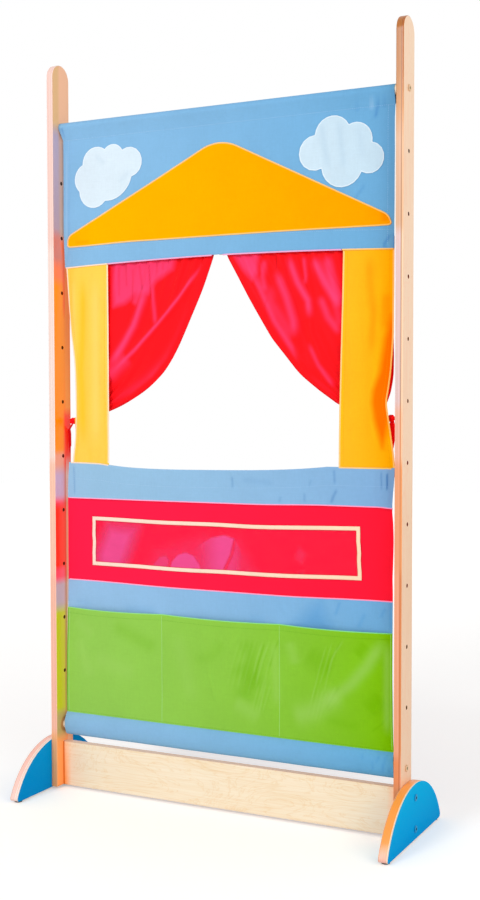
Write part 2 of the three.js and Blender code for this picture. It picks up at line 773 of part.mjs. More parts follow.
function tailSpot(plan, s, w) {
  const { side, side_x, tie_x, neck_bottom } = plan;
  const spread = Math.sin(w * Math.PI / 2);
  const near_x = mix(tie_x - side * bundle_width / 2, side_x - side * tail_width, spread);
  const far_x = mix(tie_x + side * bundle_width / 2, side_x, spread);
  const round = Math.sqrt(Math.max(1 - (2 * s - 1) ** 2, 0));
  const z = neck_bottom - w * mix(tail_lead_length, tail_side_length, s);
  return [mix(near_x, far_x, s), z, mix(bundle_depth * round, tail_depth, w)];
}

function curtain(side) {
  const plan = curtainPlan(side);
  const rows = curtain_fan_rows + 1 + curtain_tail_rows;
  return sheet(curtain_columns, rows, (u, v, face) => {
    const s = side < 0 ? 1 - u : u;
    const row = rows - Math.round(v * rows);
    const tail = row > curtain_fan_rows;
    const spot = tail ? tailSpot(plan, s, (row - curtain_fan_rows - 1) / curtain_tail_rows)
      : fanSpot(plan, s, row / curtain_fan_rows);
    const [x, z, depth] = spot;
    const hang = Math.min(row / curtain_fan_rows, 1);
    const nearest = behind_strip_y + (depth + curtain_cloth_thickness) / 2;
    const middle = Math.max(mix(curtain_top_y, bundle_y, hang), nearest);
    const fold = Math.cos(2 * Math.PI * curtain_fold_count * s) * depth / 2;
    return [x, middle + fold + face * curtain_cloth_thickness / 2, z];
  });
}

function headingTape(side) {
  const { lead_x, side_x } = curtainPlan(side);
  const length = Math.abs(side_x - lead_x);
  const middle_z = heading_z + heading_tape_rise - heading_tape_height / 2;
  return new THREE.BoxGeometry(length, heading_tape_thickness, heading_tape_height)
    .translate((lead_x + side_x) / 2, behind_strip_y + heading_tape_thickness / 2, middle_z);
}

// Tie: a ribbon round the bundle, a knot at its side and two short ends hanging from the knot
function tie(side) {
  const { tie_x, tie_z } = curtainPlan(side);
  const [a, b] = [bundle_width / 2 + ribbon_slack, ribbon_inside_depth];
  const ring = (grow) => arc(0, 0, 1, 0, 2 * Math.PI, arc_steps).slice(1).map(
    (point) => new THREE.Vector2(point.x * (a + grow), point.y * (b + grow)),
  );
  const shape = new THREE.Shape(ring(ribbon_thickness));
  shape.holes = [new THREE.Path(ring(0).reverse())];
  const loop = new THREE.ExtrudeGeometry(shape, { depth: ribbon_width, bevelEnabled: false })
    .translate(0, 0, -ribbon_width / 2);
  const knot_x = side * (a + ribbon_thickness / 2 + knot_width / 2);
  const knot = new THREE.SphereGeometry(1, knot_sides, knot_rings)
    .scale(knot_width / 2, knot_depth / 2, knot_height / 2).translate(knot_x, 0, 0);
  const lean = Math.atan2(knot_depth / 2, ribbon_end_length);
  const ends = [-1, 1].map((way) => {
    const end = new THREE.BoxGeometry(ribbon_thickness, ribbon_end_width, ribbon_end_length);
    return end.translate(0, 0, -ribbon_end_length / 2).rotateX(way * lean)
      .translate(knot_x + way * ribbon_thickness, 0, 0);
  });
  return join([loop, knot, ...ends]).translate(tie_x, bundle_y, tie_z);
}

function tieLoop(side) {
  const { tie_z } = curtainPlan(side);
  const edge = side < 0 ? leftEdge(tie_z) : rightEdge(tie_z);
  return new THREE.BoxGeometry(tie_loop_width, tie_loop_thickness, ribbon_width)
    .translate(edge - side * tie_loop_width / 2, behind_strip_y + tie_loop_thickness / 2, tie_z);
}

// Materials
function finish(color, roughness, metalness = 0, opacity = 1) {
  return new THREE.MeshStandardMaterial({ color, roughness, metalness, opacity, transparent: opacity < 1 });
}

const birch = finish(0xf0c79c, 0.35);
const pale_birch = finish(0xf6dcb4, 0.5);
const beech = finish(0xe2b987, 0.5);
const blue_laminate = finish(0x0089c9, 0.35);
const black_plastic = finish(0x1c1c1e, 0.5);
const steel = finish(0xb9bcc0, 0.35, 0.9);
const brass = finish(0xc9a24a, 0.35, 0.9);
const sky_cloth = finish(0x86b8e4, 0.75);
const cloud_cloth = finish(0xdcedf8, 0.8);
const orange_cloth = finish(0xffb000, 0.75);
const cream_tape = finish(0xfbdfc0, 0.7);
const yellow_cloth = finish(0xffc31c, 0.75);
const red_satin = finish(0xee1b2c, 0.4);
const red_cloth = finish(0xf2203f, 0.75);
const green_cloth = finish(0x85c62a, 0.8);
const clear_film = finish(0xffdde6, 0.1, 0, 0.35);

function piece(name, geometry, material, x = 0, z = 0) {
  const mesh = new THREE.Mesh(geometry, material);
  mesh.name = name;
  mesh.position.set(x, 0, z);
  return mesh;
}

// A fitting made for the right side, turned round where it goes on the left
function fitting(name, geometry, material, side, x, z) {
  const mesh = piece(name, geometry, material, side * x, z);
  mesh.rotation.z = side < 0 ? Math.PI : 0;
  return mesh;
}

// Frame
const frame = new THREE.Group();
const upright_x = clear_width / 2;
const inner_skin_x = upright_x + board_thickness;
const core_x = inner_skin_x + laminate_thickness;
const outer_skin_x = core_x + foot_core_thickness;

frame.add(
  piece('left_upright', upright(), birch, -upright_x - board_thickness, upright_above_floor),
  piece('right_upright', upright(), birch, upright_x, upright_above_floor),
  piece('left_foot_inner_skin', footBoard(laminate_thickness), blue_laminate, -core_x, glide_height),
  piece('left_foot', footCore(), pale_birch, -outer_skin_x, glide_height),
  piece('left_foot_outer_skin', footBoard(laminate_thickness), blue_laminate, -outer_face_x, glide_height),
  piece('right_foot_inner_skin', footBoard(laminate_thickness), blue_laminate, inner_skin_x, glide_height),
  piece('right_foot', footCore(), pale_birch, core_x, glide_height),
  piece('right_foot_outer_skin', footBoard(laminate_thickness), blue_laminate, outer_skin_x, glide_height),
  piece('bottom_rail', rail(), pale_birch),
  piece('upper_rod', rod(), beech, 0, upper_rod_z),
  piece('lower_rod', rod(), beech, 0, lower_rod_z),
);

// Fittings, at each side of the stand
const fittings = new THREE.Group();
const foot_bolt_length = outer_face_x - clear_width / 2 + foot_bolt_reach;
const rod_bolt_length = board_thickness + rod_bolt_reach;

for (const [name, side] of [['left', -1], ['right', 1]]) {
  ['front', 'rear'].forEach((end, i) => {
    const glide_x = side * (core_x + foot_core_thickness / 2);
    const mesh = piece(`${name}_${end}_glide`, glide(), black_plastic, glide_x);
    mesh.position.y = glideSpots()[i];
    fittings.add(mesh);
  });
  ['lower', 'upper'].forEach((level, i) => {
    const [bolt_z, rod_z] = [footBoltHeights()[i], [lower_rod_z, upper_rod_z][i]];
    fittings.add(
      fitting(`${name}_${level}_foot_bolt`, bolt(foot_bolt_length), steel, side, outer_face_x, bolt_z),
      piece(`${name}_${level}_barrel_nut`, barrelNut(), steel, side * nut_x, bolt_z),
      fitting(`${name}_${level}_rod_bolt`, bolt(rod_bolt_length), steel, side, inner_skin_x, rod_z),
      fitting(`${name}_${level}_rod_insert`, rodInsert(), brass, side, upright_x, rod_z),
    );
  });
}

// Cloth front
const front = new THREE.Group();

front.add(
  piece('banner', banner(), sky_cloth),
  piece('gable', gable(), orange_cloth),
  piece('gable_piping', piping(), cream_tape),
  piece(
    'left_cloud',
    cloud(left_cloud_shares, -1, left_cloud_setback, left_cloud_rise, left_cloud_width, left_cloud_height),
    cloud_cloth,
  ),
  piece(
    'right_cloud',
    cloud(right_cloud_shares, 1, right_cloud_setback, right_cloud_rise, right_cloud_width, right_cloud_height),
    cloud_cloth,
  ),
  piece('left_strip', strip(-1, curtainPlan(-1).tie_z), yellow_cloth),
  piece('right_strip', strip(1, curtainPlan(1).tie_z), yellow_cloth),
  piece('waist_band', band(red_top_z + fit_gap, waist_top_z, waistEdge), sky_cloth),
  piece('red_band', band(backing_top_z + fit_gap, red_top_z), red_cloth),
  piece('pocket_backing', band(hem_top_z + fit_gap, backing_top_z), sky_cloth),
  piece('pocket_front', pocketFront(), green_cloth),
  piece('hem_sleeve', hem(), sky_cloth),
  piece('card_window', cardFilm(), clear_film),
  piece('card_window_tape', cardTape(), cream_tape),
);

// Curtains
const curtains = new THREE.Group();

for (const [name, side] of [['left', -1], ['right', 1]]) {
  curtains.add(
    piece(`${name}_heading_tape`, headingTape(side), cream_tape),
    piece(`${name}_curtain`, curtain(side), red_satin),
    piece(`${name}_tie`, tie(side), red_satin),
    piece(`${name}_tie_loop`, tieLoop(side), yellow_cloth),
  );
}

const theater = new THREE.Group();
theater.add(frame, fittings, front, curtains);

export default theater;
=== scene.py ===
# %% [markdown]
# # A puppet theater stand
# The stand is a doorway-high frame of birch plywood with a cloth front. The cloth hangs between
# two rods, and it has a gable, two clouds, a stage window with tied-back curtains, a window for a
# card and three puppet pockets. The CAD model gives every size. This lesson dresses it: boards with
# their plies and grain, and cloth that hangs, folds and catches the light.

# %% Load the frame on an empty table
import json
import math

import bpy
import numpy as np
from mathutils import Matrix, Vector

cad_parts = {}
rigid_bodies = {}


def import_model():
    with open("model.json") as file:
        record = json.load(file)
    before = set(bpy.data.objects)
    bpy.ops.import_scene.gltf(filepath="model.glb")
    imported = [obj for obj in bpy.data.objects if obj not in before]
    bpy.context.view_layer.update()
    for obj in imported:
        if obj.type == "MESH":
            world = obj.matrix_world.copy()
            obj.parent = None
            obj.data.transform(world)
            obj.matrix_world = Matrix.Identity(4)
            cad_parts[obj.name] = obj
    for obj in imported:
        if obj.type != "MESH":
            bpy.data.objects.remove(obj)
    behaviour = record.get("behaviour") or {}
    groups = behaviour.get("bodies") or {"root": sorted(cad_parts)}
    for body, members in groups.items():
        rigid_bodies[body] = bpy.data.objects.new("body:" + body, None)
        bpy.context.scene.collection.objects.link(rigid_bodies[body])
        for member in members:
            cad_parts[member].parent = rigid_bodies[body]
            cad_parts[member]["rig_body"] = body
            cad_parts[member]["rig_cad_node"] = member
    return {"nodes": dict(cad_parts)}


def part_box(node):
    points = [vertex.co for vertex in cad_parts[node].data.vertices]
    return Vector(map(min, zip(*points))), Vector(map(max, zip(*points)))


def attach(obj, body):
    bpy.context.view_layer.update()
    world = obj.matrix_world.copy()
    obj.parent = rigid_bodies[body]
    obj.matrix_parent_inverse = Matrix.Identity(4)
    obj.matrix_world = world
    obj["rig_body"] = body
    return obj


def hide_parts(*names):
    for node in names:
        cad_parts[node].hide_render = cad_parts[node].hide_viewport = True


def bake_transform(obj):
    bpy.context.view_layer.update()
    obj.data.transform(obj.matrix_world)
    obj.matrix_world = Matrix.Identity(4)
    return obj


for spare in list(bpy.data.objects):
    bpy.data.objects.remove(spare)
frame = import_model()
bpy.ops.object.select_all(action="DESELECT")
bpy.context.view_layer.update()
MM = 0.001
TURN = 2 * math.pi

# %% [markdown]
# ## Camera
# The camera stands a little to the right of the stand, just above the waist band's height. A
# matrix made of its right, up and forward directions places it without any guessing about turns.
# The lens shift is the small offset of a cropped picture.

# %% Camera
YAW, PITCH, ROLL = (math.radians(angle) for angle in (26.231, -2.4525, -0.049))
CAMERA_PLACE = (1.1621, -2.2012, 0.8028)
LENS_MM = 50.72
LENS_SHIFT = (-0.0176, 0.0113)
forward = Vector((-math.sin(YAW) * math.cos(PITCH), math.cos(YAW) * math.cos(PITCH), math.sin(PITCH)))
level_right = Vector((math.cos(YAW), math.sin(YAW), 0))
level_up = level_right.cross(forward)
right = level_right * math.cos(ROLL) + level_up * math.sin(ROLL)
up = level_up * math.cos(ROLL) - level_right * math.sin(ROLL)

camera = bpy.data.objects.new("Camera", bpy.data.cameras.new("Camera"))
bpy.context.collection.objects.link(camera)
turned = Matrix((right, up, -forward)).transposed().to_4x4()
camera.matrix_world = Matrix.Translation(CAMERA_PLACE) @ turned
camera.data.lens = LENS_MM
camera.data.shift_x, camera.data.shift_y = LENS_SHIFT
bpy.context.scene.camera = camera
bpy.context.scene.view_settings.view_transform = "Standard"

# %% [markdown]
# ## Small tools for node trees
# Materials are built from nodes. These helpers add a node, set its options and fill or link its
# inputs in one line, so that a finish reads like a list of its ingredients.

# %% Node helpers
def add_node(tree, kind, feeds=None, **options):
    """Adds a shader node, sets its options, and fills or links its inputs."""
    made = tree.nodes.new("ShaderNode" + kind)
    for option, value in options.items():
        setattr(made, option, value)
    for socket, value in (feeds or {}).items():
        if isinstance(value, bpy.types.NodeSocket):
            tree.links.new(value, made.inputs[socket])
        else:
            made.inputs[socket].default_value = value
    return made


def maths(tree, operation, first, second=0.0, clamp=False):
    """One sum of two numbers or sockets."""
    return add_node(tree, "Math", {0: first, 1: second}, operation=operation, use_clamp=clamp).outputs[0]


def blend_colours(tree, share, first, second):
    """Mixes two colours by a share."""
    return add_node(tree, "Mix", {0: share, 6: first, 7: second}, data_type="RGBA").outputs[2]


def spread(tree, value, low, high, to_low=0.0, to_high=1.0):
    """Maps a range of a value onto another range, and holds it there."""
    feeds = {"Value": value, "From Min": low, "From Max": high, "To Min": to_low, "To Max": to_high}
    return add_node(tree, "MapRange", feeds).outputs["Result"]


def noise(tree, vector, scale, detail=2.0, roughness=0.5):
    """A soft random value from 0 to 1."""
    feeds = {"Vector": vector, "Scale": scale, "Detail": detail, "Roughness": roughness}
    return add_node(tree, "TexNoise", feeds).outputs["Fac"]


def scaled(tree, vector, size):
    """A vector with each of its directions scaled."""
    return add_node(tree, "Mapping", {"Vector": vector, "Scale": size}).outputs[0]


def split(tree, vector):
    """The X, Y and Z of a vector."""
    return add_node(tree, "SeparateXYZ", {0: vector}).outputs


def joined(tree, **parts):
    """A vector made of its X, Y and Z."""
    return add_node(tree, "CombineXYZ", parts).outputs[0]


def stand_place(tree):
    """Where on the stand a point lies, in metres."""
    return add_node(tree, "TexCoord").outputs["Object"]


def kept_value(tree, label):
    """A value that paint() keeps on the points of a piece."""
    return add_node(tree, "Attribute", attribute_name=label).outputs["Fac"]


def colour(code):
    """A colour written as on screen, turned into the linear values that a shader takes."""
    parts = [int(code[i:i + 2], 16) / 255 for i in (1, 3, 5)]
    return [part / 12.92 if part <= 0.04045 else ((part + 0.055) / 1.055) ** 2.4 for part in parts] + [1.0]


def new_group(name, inputs, outputs):
    """A node group with named number, colour or vector sockets, and its two ends."""
    tree = bpy.data.node_groups.new(name, "ShaderNodeTree")
    for label, kind, value in inputs:
        socket = tree.interface.new_socket(name=label, in_out="INPUT", socket_type="NodeSocket" + kind)
        if value is not None:
            socket.default_value = value
    for label, kind in outputs:
        tree.interface.new_socket(name=label, in_out="OUTPUT", socket_type="NodeSocket" + kind)
    return tree, tree.nodes.new("NodeGroupInput").outputs, tree.nodes.new("NodeGroupOutput").inputs


def use_group(tree, name, feeds):
    """Places a node group in a material."""
    made = tree.nodes.new("ShaderNodeGroup")
    made.node_tree = bpy.data.node_groups[name]
    for socket, value in feeds.items():
        if isinstance(value, bpy.types.NodeSocket):
            tree.links.new(value, made.inputs[socket])
        else:
            made.inputs[socket].default_value = value
    return made.outputs


def new_finish(name, **shader_values):
    """A material with its shader's plain values set. Words with _ stand for socket names."""
    material = bpy.data.materials.new(name)
    material.use_nodes = True
    tree = material.node_tree
    shader = tree.nodes["Principled BSDF"]
    for socket, value in shader_values.items():
        shader.inputs[socket.replace("_", " ")].default_value = value
    return material, tree, shader


def bump(tree, shader, height, strength, distance):
    """Presses a height into the surface of a finish."""
    made = add_node(tree, "Bump", {"Height": height, "Strength": strength, "Distance": distance})
    tree.links.new(made.outputs[0], shader.inputs["Normal"])


# %% [markdown]
# ## Studio
# The stand is shown in a white studio. The world is white to the camera and in reflections, and a
# gentler light to everything else, so the colours stay as they are written. The floor glows a
# little to the camera, which makes it as white as the background, and still takes the shadow.

# %% World, floor and lamps
def white_seen_directly(tree):
    """Is 1 for camera, mirror and see-through rays, and 0 for scattered light."""
    path = add_node(tree, "LightPath")
    seen = maths(tree, "MAXIMUM", path.outputs["Is Camera Ray"], path.outputs["Is Glossy Ray"])
    return maths(tree, "MAXIMUM", seen, path.outputs["Is Transmission Ray"])


world = bpy.data.worlds.new("Studio")
bpy.context.scene.world = world
world.use_nodes = True
room = world.node_tree
room.nodes.clear()
soft = add_node(room, "Background", {"Color": (0.98, 0.985, 1.0, 1), "Strength": 0.62})
white = add_node(room, "Background", {"Color": (1, 1, 1, 1), "Strength": 1.0})
choice = add_node(room, "MixShader", {0: white_seen_directly(room), 1: soft.outputs[0], 2: white.outputs[0]})
add_node(room, "OutputWorld", {"Surface": choice.outputs[0]})

bpy.ops.mesh.primitive_plane_add(size=14, location=(0, 2, 0))
floor = bpy.context.object
floor.name = "Floor"
floor_finish, tree, shader = new_finish("Studio floor", Base_Color=colour("#E9E7E4"), Roughness=0.9)
shader.inputs["Emission Color"].default_value = (1, 1, 1, 1)
camera_ray = add_node(tree, "LightPath").outputs["Is Camera Ray"]
stand_on_floor = (0, -2, 0)
from_stand = add_node(tree, "VectorMath", {0: stand_place(tree), 1: stand_on_floor}, operation="DISTANCE")
whitening = spread(tree, from_stand.outputs["Value"], 0.5, 4.0, 0.33, 0.52)
glow = add_node(tree, "Emission", {"Color": (1, 1, 1, 1), "Strength": maths(tree, "MULTIPLY", camera_ray, whitening)})
whole = add_node(tree, "AddShader", {0: shader.outputs[0], 1: glow.outputs[0]})
tree.links.new(whole.outputs[0], tree.nodes["Material Output"].inputs["Surface"])
floor.data.materials.append(floor_finish)


def add_lamp(name, place, aim, size, power):
    """A square soft box that looks at a point."""
    lamp = bpy.data.objects.new(name, bpy.data.lights.new(name, "AREA"))
    bpy.context.collection.objects.link(lamp)
    lamp.data.size, lamp.data.energy = size, power
    lamp.location = place
    lamp.rotation_euler = (Vector(aim) - Vector(place)).to_track_quat("-Z", "Y").to_euler()


add_lamp("Key", (-1.0, -4.0, 2.7), (0, 0, 0.75), 1.3, 72)
add_lamp("Fill", (2.6, -1.6, 1.6), (0.1, 0, 0.8), 1.8, 27)

# %% [markdown]
# ## The frame's own values
# Every cloth piece reads its place from the CAD nodes, so the dressing follows if the part changes.
# The cloth's side edges are drawn in where the ties pull. Tables give that as shares of the rods'
# spacing and of the cloth's width, and a short average rounds the corners of a table.

# %% Places and edges
def middle_z(node):
    """The height of the middle of a CAD node."""
    low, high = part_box(node)
    return (low.z + high.z) / 2


UPPER_ROD_Z, LOWER_ROD_Z = middle_z("upper_rod"), middle_z("lower_rod")
ROD_RADIUS = (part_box("upper_rod")[1].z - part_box("upper_rod")[0].z) / 2
CLOTH_WIDTH = 724 * MM
CLOTH_X = -4 * MM
STAGE_WIDTH = 512 * MM
STITCH_Z = UPPER_ROD_Z - 26 * MM
VALANCE_Z = UPPER_ROD_Z - 282 * MM
HEM_TOP_Z = LOWER_ROD_Z + 27 * MM
BACKING_TOP_Z = HEM_TOP_Z + 280 * MM
RED_TOP_Z = BACKING_TOP_Z + 171 * MM
WAIST_TOP_Z = RED_TOP_Z + 74 * MM

LEFT_DRAW = [
    (-0.02, 0.0015), (0.0, 0.0005), (0.03, 0.0), (0.13, 0.0025), (0.2, 0.0068), (0.25, 0.008), (0.4, 0.008),
    (0.425, 0.0105), (0.445, 0.0135), (0.76, 0.006), (0.83, 0),
]
LEFT_STRIP_DRAW = [
    (0.4453, 0.0234), (0.457, 0.0257), (0.482, 0.0335), (0.5137, 0.0374), (0.547, 0.0382), (0.59, 0.037),
    (0.628, 0.0331), (0.655, 0.0245), (0.683, 0.0205), (0.721, 0.014), (0.76, 0.0085), (0.83, 0),
]
RIGHT_DRAW = [
    (-0.02, -0.01), (0, -0.01), (0.03, -0.005), (0.06, -0.004), (0.13, -0.0018), (0.23, -0.0018), (0.256, -0.0025),
    (0.28, -0.0012), (0.3, -0.0028), (0.336, -0.004), (0.364, -0.0028), (0.382, 0.0005), (0.4, -0.001),
    (0.42, -0.0035), (0.43, -0.005), (0.445, -0.0065), (0.469, -0.0025), (0.502, 0.0055), (0.518, 0.0105),
    (0.534, 0.015), (0.545, 0.0171), (0.56, 0.0115), (0.59, 0.0045), (0.64, -0.0014), (0.72, -0.002), (0.96, -0.0025),
    (1.0, -0.006),
]


def mix(first, second, share):
    return first + (second - first) * share


def smooth(low, high, value):
    """Rises gently from 0 to 1 between two places."""
    share = np.clip((value - low) / (high - low), 0, 1)
    return share * share * (3 - 2 * share)


def read_table(table, at, reach):
    """The value of a table at a place, with the table's corners rounded."""
    places, values = np.array(table, float).T
    steps = np.linspace(-reach, reach, 7)
    return sum(np.interp(at + step, places, values) for step in steps) / len(steps)


def left_edge(z, table=None):
    level = (z - LOWER_ROD_Z) / (UPPER_ROD_Z - LOWER_ROD_Z)
    return CLOTH_X - CLOTH_WIDTH / 2 + CLOTH_WIDTH * read_table(table or LEFT_DRAW, level, 0.014)


def right_edge(z):
    level = (z - LOWER_ROD_Z) / (UPPER_ROD_Z - LOWER_ROD_Z)
    return CLOTH_X + CLOTH_WIDTH / 2 - CLOTH_WIDTH * read_table(RIGHT_DRAW, level, 0.008)


def across_front(z, share):
    """A place between the cloth's two side edges, at a height."""
    return mix(left_edge(z), right_edge(z), share)


def valance_edge(x):
    """The valance hangs a little lower towards its ends, most of all at the left."""
    share = (x - CLOTH_X) / (CLOTH_WIDTH / 2)
    return VALANCE_Z + 3.8 * MM - np.where(share < 0, 8.8 * MM, 7.8 * MM) * share ** 2


def waist_edge(x):
    """The waist band sags between the strips, in a long flat curve."""
    share = np.minimum(np.abs(x - CLOTH_X + 24 * MM) / (STAGE_WIDTH / 2), 1)
    tilt = 5 * MM * smooth(-0.3, 0.3, x)
    left_end = 3 * MM * smooth(-0.2, -0.35, x)
    return WAIST_TOP_Z - 2.5 * MM + tilt - 9 * MM * (1 - share ** 3) + left_end


def red_top_edge(x):
    """The seam over the red band, which was sewn a little high at the right."""
    return RED_TOP_Z + 3.5 * MM * smooth(0.06, 0.23, x) - 1.8 * MM * smooth(0.33, 0.358, x)


def red_foot_edge(x):
    """The seam under the red band, which hangs a little in its middle."""
    return BACKING_TOP_Z - 3.8 * MM * smooth(-0.33, -0.07, x) * smooth(0.34, 0.122, x)


print("rods at", round(LOWER_ROD_Z, 4), "and", round(UPPER_ROD_Z, 4), "m")

# %% [markdown]
# ## How the cloth hangs
# A cloth on two rods is never quite flat. Long low waves cross it, small dents lie between them,
# and creases show where it was folded. All pieces of the front share one set of waves, so
# they stay on each other. The waves are sums of sines in drawn directions, from one fixed seed.

# %% Waves, dents and creases
draw = np.random.default_rng(21)
WAVES = [(draw.uniform(1.2, 3.4), draw.uniform(-1.6, 1.6), draw.uniform(0, 1), 0.55 * MM) for _ in range(5)]
DENTS = [(draw.uniform(8, 24) * way, draw.uniform(-20, 20), draw.uniform(0, 1), 0.055 * MM)
         for _ in range(7) for way in (-1, 1)]


def add_sines(waves, x, z):
    return sum(height * np.sin(TURN * (across * x + down * z + start)) for across, down, start, height in waves)


def distance_to(path, x, z):
    """How far each point lies from a path of (x, z) points, on which side, and how far along it."""
    spots = np.array(path, float) * MM
    lengths = np.hypot(*(spots[1:] - spots[:-1]).T)
    passed = np.concatenate([[0], np.cumsum(lengths)])
    nearest = np.full(x.shape, 1e9)
    side = np.zeros(x.shape)
    along = np.zeros(x.shape)
    for i, length in enumerate(lengths):
        step = (spots[i + 1] - spots[i]) / length
        off_x, off_z = x - spots[i][0], z - spots[i][1]
        reach = np.clip(off_x * step[0] + off_z * step[1], 0, length)
        gap = np.hypot(off_x - reach * step[0], off_z - reach * step[1])
        closer = gap < nearest
        nearest = np.where(closer, gap, nearest)
        side = np.where(closer, np.sign(step[0] * off_z - step[1] * off_x), side)
        along = np.where(closer, (passed[i] + reach) / passed[-1], along)
    return nearest, side, along


def stroke(path, x, z, width, fade=0.25):
    """A soft stroke along a path: 1 on the path, nothing beyond its width, faded at both ends."""
    gap, _, along = distance_to(path, x, z)
    ends = smooth(0, fade, along) * smooth(0, fade, 1 - along)
    return np.exp(-((gap / (width * MM)) ** 2)) * ends


def inside(corners, x, z, soft):
    """A soft mask that is 1 inside a polygon of (x, z) points and dies away outside it."""
    spots = np.array(corners, float) * MM
    odd = np.zeros(x.shape, bool)
    for (ax, az), (bx, bz) in zip(spots, np.roll(spots, -1, 0)):
        if az != bz:
            odd ^= ((az > z) != (bz > z)) & (x < (bx - ax) * (z - az) / (bz - az) + ax)
    gap, _, _ = distance_to(list(corners) + [corners[0]], x, z)
    return 0.5 + 0.5 * np.clip(np.where(odd, gap, -gap) / (soft * MM), -1, 1)


# Strokes and patches that paint a cloth are written this much lower than they lie on it.
PAINT_DROP = 4 * MM


def painted(strokes=(), patches=()):
    """A rule for a value that strokes (path, width, value) and patches (corners, soft, value) build up."""
    def rule(x, z):
        z = z - PAINT_DROP
        clear = np.ones(x.shape)
        for path, width, value in strokes:
            clear = clear * (1 - np.clip(value * stroke(path, x, z, width, 0.2), 0, 1))
        for corners, soft, value in patches:
            clear = clear * (1 - np.clip(value * inside(corners, x, z, soft), 0, 1))
        return 1 - clear
    return rule


CREASES = [
    ([(300, 1222), (281, 1187)], 3, 0.7), ([(346, 1115), (352, 1086)], 4, 1.0), ([(336, 1112), (338, 1090)], 4, -0.8),
    ([(285, 1372), (289, 1335)], 4, 0.6), ([(310, 1372), (312, 1330)], 5, -0.7), ([(334, 1370), (330, 1335)], 4, 0.7),
    ([(22, 612), (32, 592)], 4, 0.8), ([(182, 621), (190, 640)], 5, 0.7), ([(213, 620), (206, 645)], 5, -0.6),
    ([(26, 653), (30, 684)], 6, 0.6), ([(346, 690), (350, 615)], 6, 1.3), ([(332, 684), (330, 620)], 6, -0.8),
    ([(120, 440), (146, 398)], 7, 0.8), ([(240, 440), (262, 392)], 8, -0.7), ([(300, 436), (322, 390)], 7, 0.7),
]


def billow(x, z):
    """How far the front stands out of its plane, towards the puppeteer where positive."""
    free = smooth(0, 0.09, STITCH_Z - z) * smooth(0, 0.06, z - HEM_TOP_Z)
    creases = sum(height * MM * stroke(path, x, z, width) for path, width, height in CREASES)
    return free * (add_sines(WAVES, x, z) + add_sines(DENTS, x, z)) - creases


# %% [markdown]
# ## Making a sheet of cloth
# A sheet starts as a flat grid. A rule then says where each of its points goes, from how far
# across and how far up it lies. Solidify gives the sheet its thickness, and only its sharp rim
# stays sharp. The sheet's own map is in metres, so a weave on it has its real size.

# %% Cloth helpers
SHARP_ANGLE = math.radians(50)


def only(piece):
    """Selects one piece and nothing else."""
    bpy.ops.object.select_all(action="DESELECT")
    piece.select_set(True)
    bpy.context.view_layer.objects.active = piece
    return piece


def finish_piece(piece, material, body="stand", stands_for=()):
    """Gives a piece its material, and ties it to its body and its CAD nodes."""
    piece.data.materials.clear()
    piece.data.materials.append(bpy.data.materials[material])
    if body:
        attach(piece, body)
    if stands_for:
        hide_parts(*stands_for)
    return piece


def paint(piece, label, rule):
    """Keeps a value from 0 to 1 on each point of a piece, for its material to read."""
    spots = np.empty(len(piece.data.vertices) * 3)
    piece.data.vertices.foreach_get("co", spots)
    values = np.clip(rule(spots[0::3], spots[2::3]), 0, 1).astype(np.float32)
    piece.data.attributes.new(label, "FLOAT", "POINT").data.foreach_set("value", values)


def thicken(piece, thickness):
    """Gives a sheet its thickness, evenly to both sides, and keeps only its rim sharp."""
    wall = only(piece).modifiers.new("Thickness", "SOLIDIFY")
    wall.thickness, wall.offset = thickness, 0
    bpy.ops.object.modifier_apply(modifier=wall.name)
    bpy.ops.object.shade_smooth_by_angle(angle=SHARP_ANGLE)
    return piece


def cloth(name, columns, rows, place, thickness, size=(1, 1)):
    """A grid whose points a rule places, thickened into cloth."""
    bpy.ops.mesh.primitive_grid_add(x_subdivisions=columns, y_subdivisions=rows, size=1)
    piece = bpy.context.object
    piece.name = piece.data.name = name
    flat = np.empty(len(piece.data.vertices) * 3)
    piece.data.vertices.foreach_get("co", flat)
    u, v = flat[0::3] + 0.5, flat[1::3] + 0.5
    x, y, z = np.broadcast_arrays(*place(u, v))
    piece.data.vertices.foreach_set("co", np.stack([x, y, z], 1).ravel())
    corners = np.empty(len(piece.data.loops), int)
    piece.data.loops.foreach_get("vertex_index", corners)
    piece.data.uv_layers[0].data.foreach_set("uv", np.stack([u[corners] * size[0], v[corners] * size[1]], 1).ravel())
    return thicken(piece, thickness)


def by_rows(rows):
    """The columns of a list of rows, and a rule for the row that a share of the way up falls on."""
    def row_at(v):
        return np.round(v * (len(rows) - 1)).astype(int)
    return *(np.array(column) for column in zip(*rows)), row_at


# %% [markdown]
# Seams, piping and tape are long narrow pieces that follow a path. Each is a small closed section
# carried along the path, widened at sharp corners as a mitre is. A row of stitches is one
# few-sided stitch repeated at an even pitch.

# %% Beads and stitches
def resample(path, pitch, closed=False):
    """Points at an even pitch along a path, as an array."""
    spots = np.array(path, float)
    if closed:
        spots = np.vstack([spots, spots[:1]])
    passed = np.concatenate([[0], np.cumsum(np.linalg.norm(np.diff(spots, axis=0), axis=1))])
    at = np.linspace(0, passed[-1], max(int(round(passed[-1] / pitch)), 1) + 1)
    return np.stack([np.interp(at, passed, spots[:, axis]) for axis in range(3)], 1)


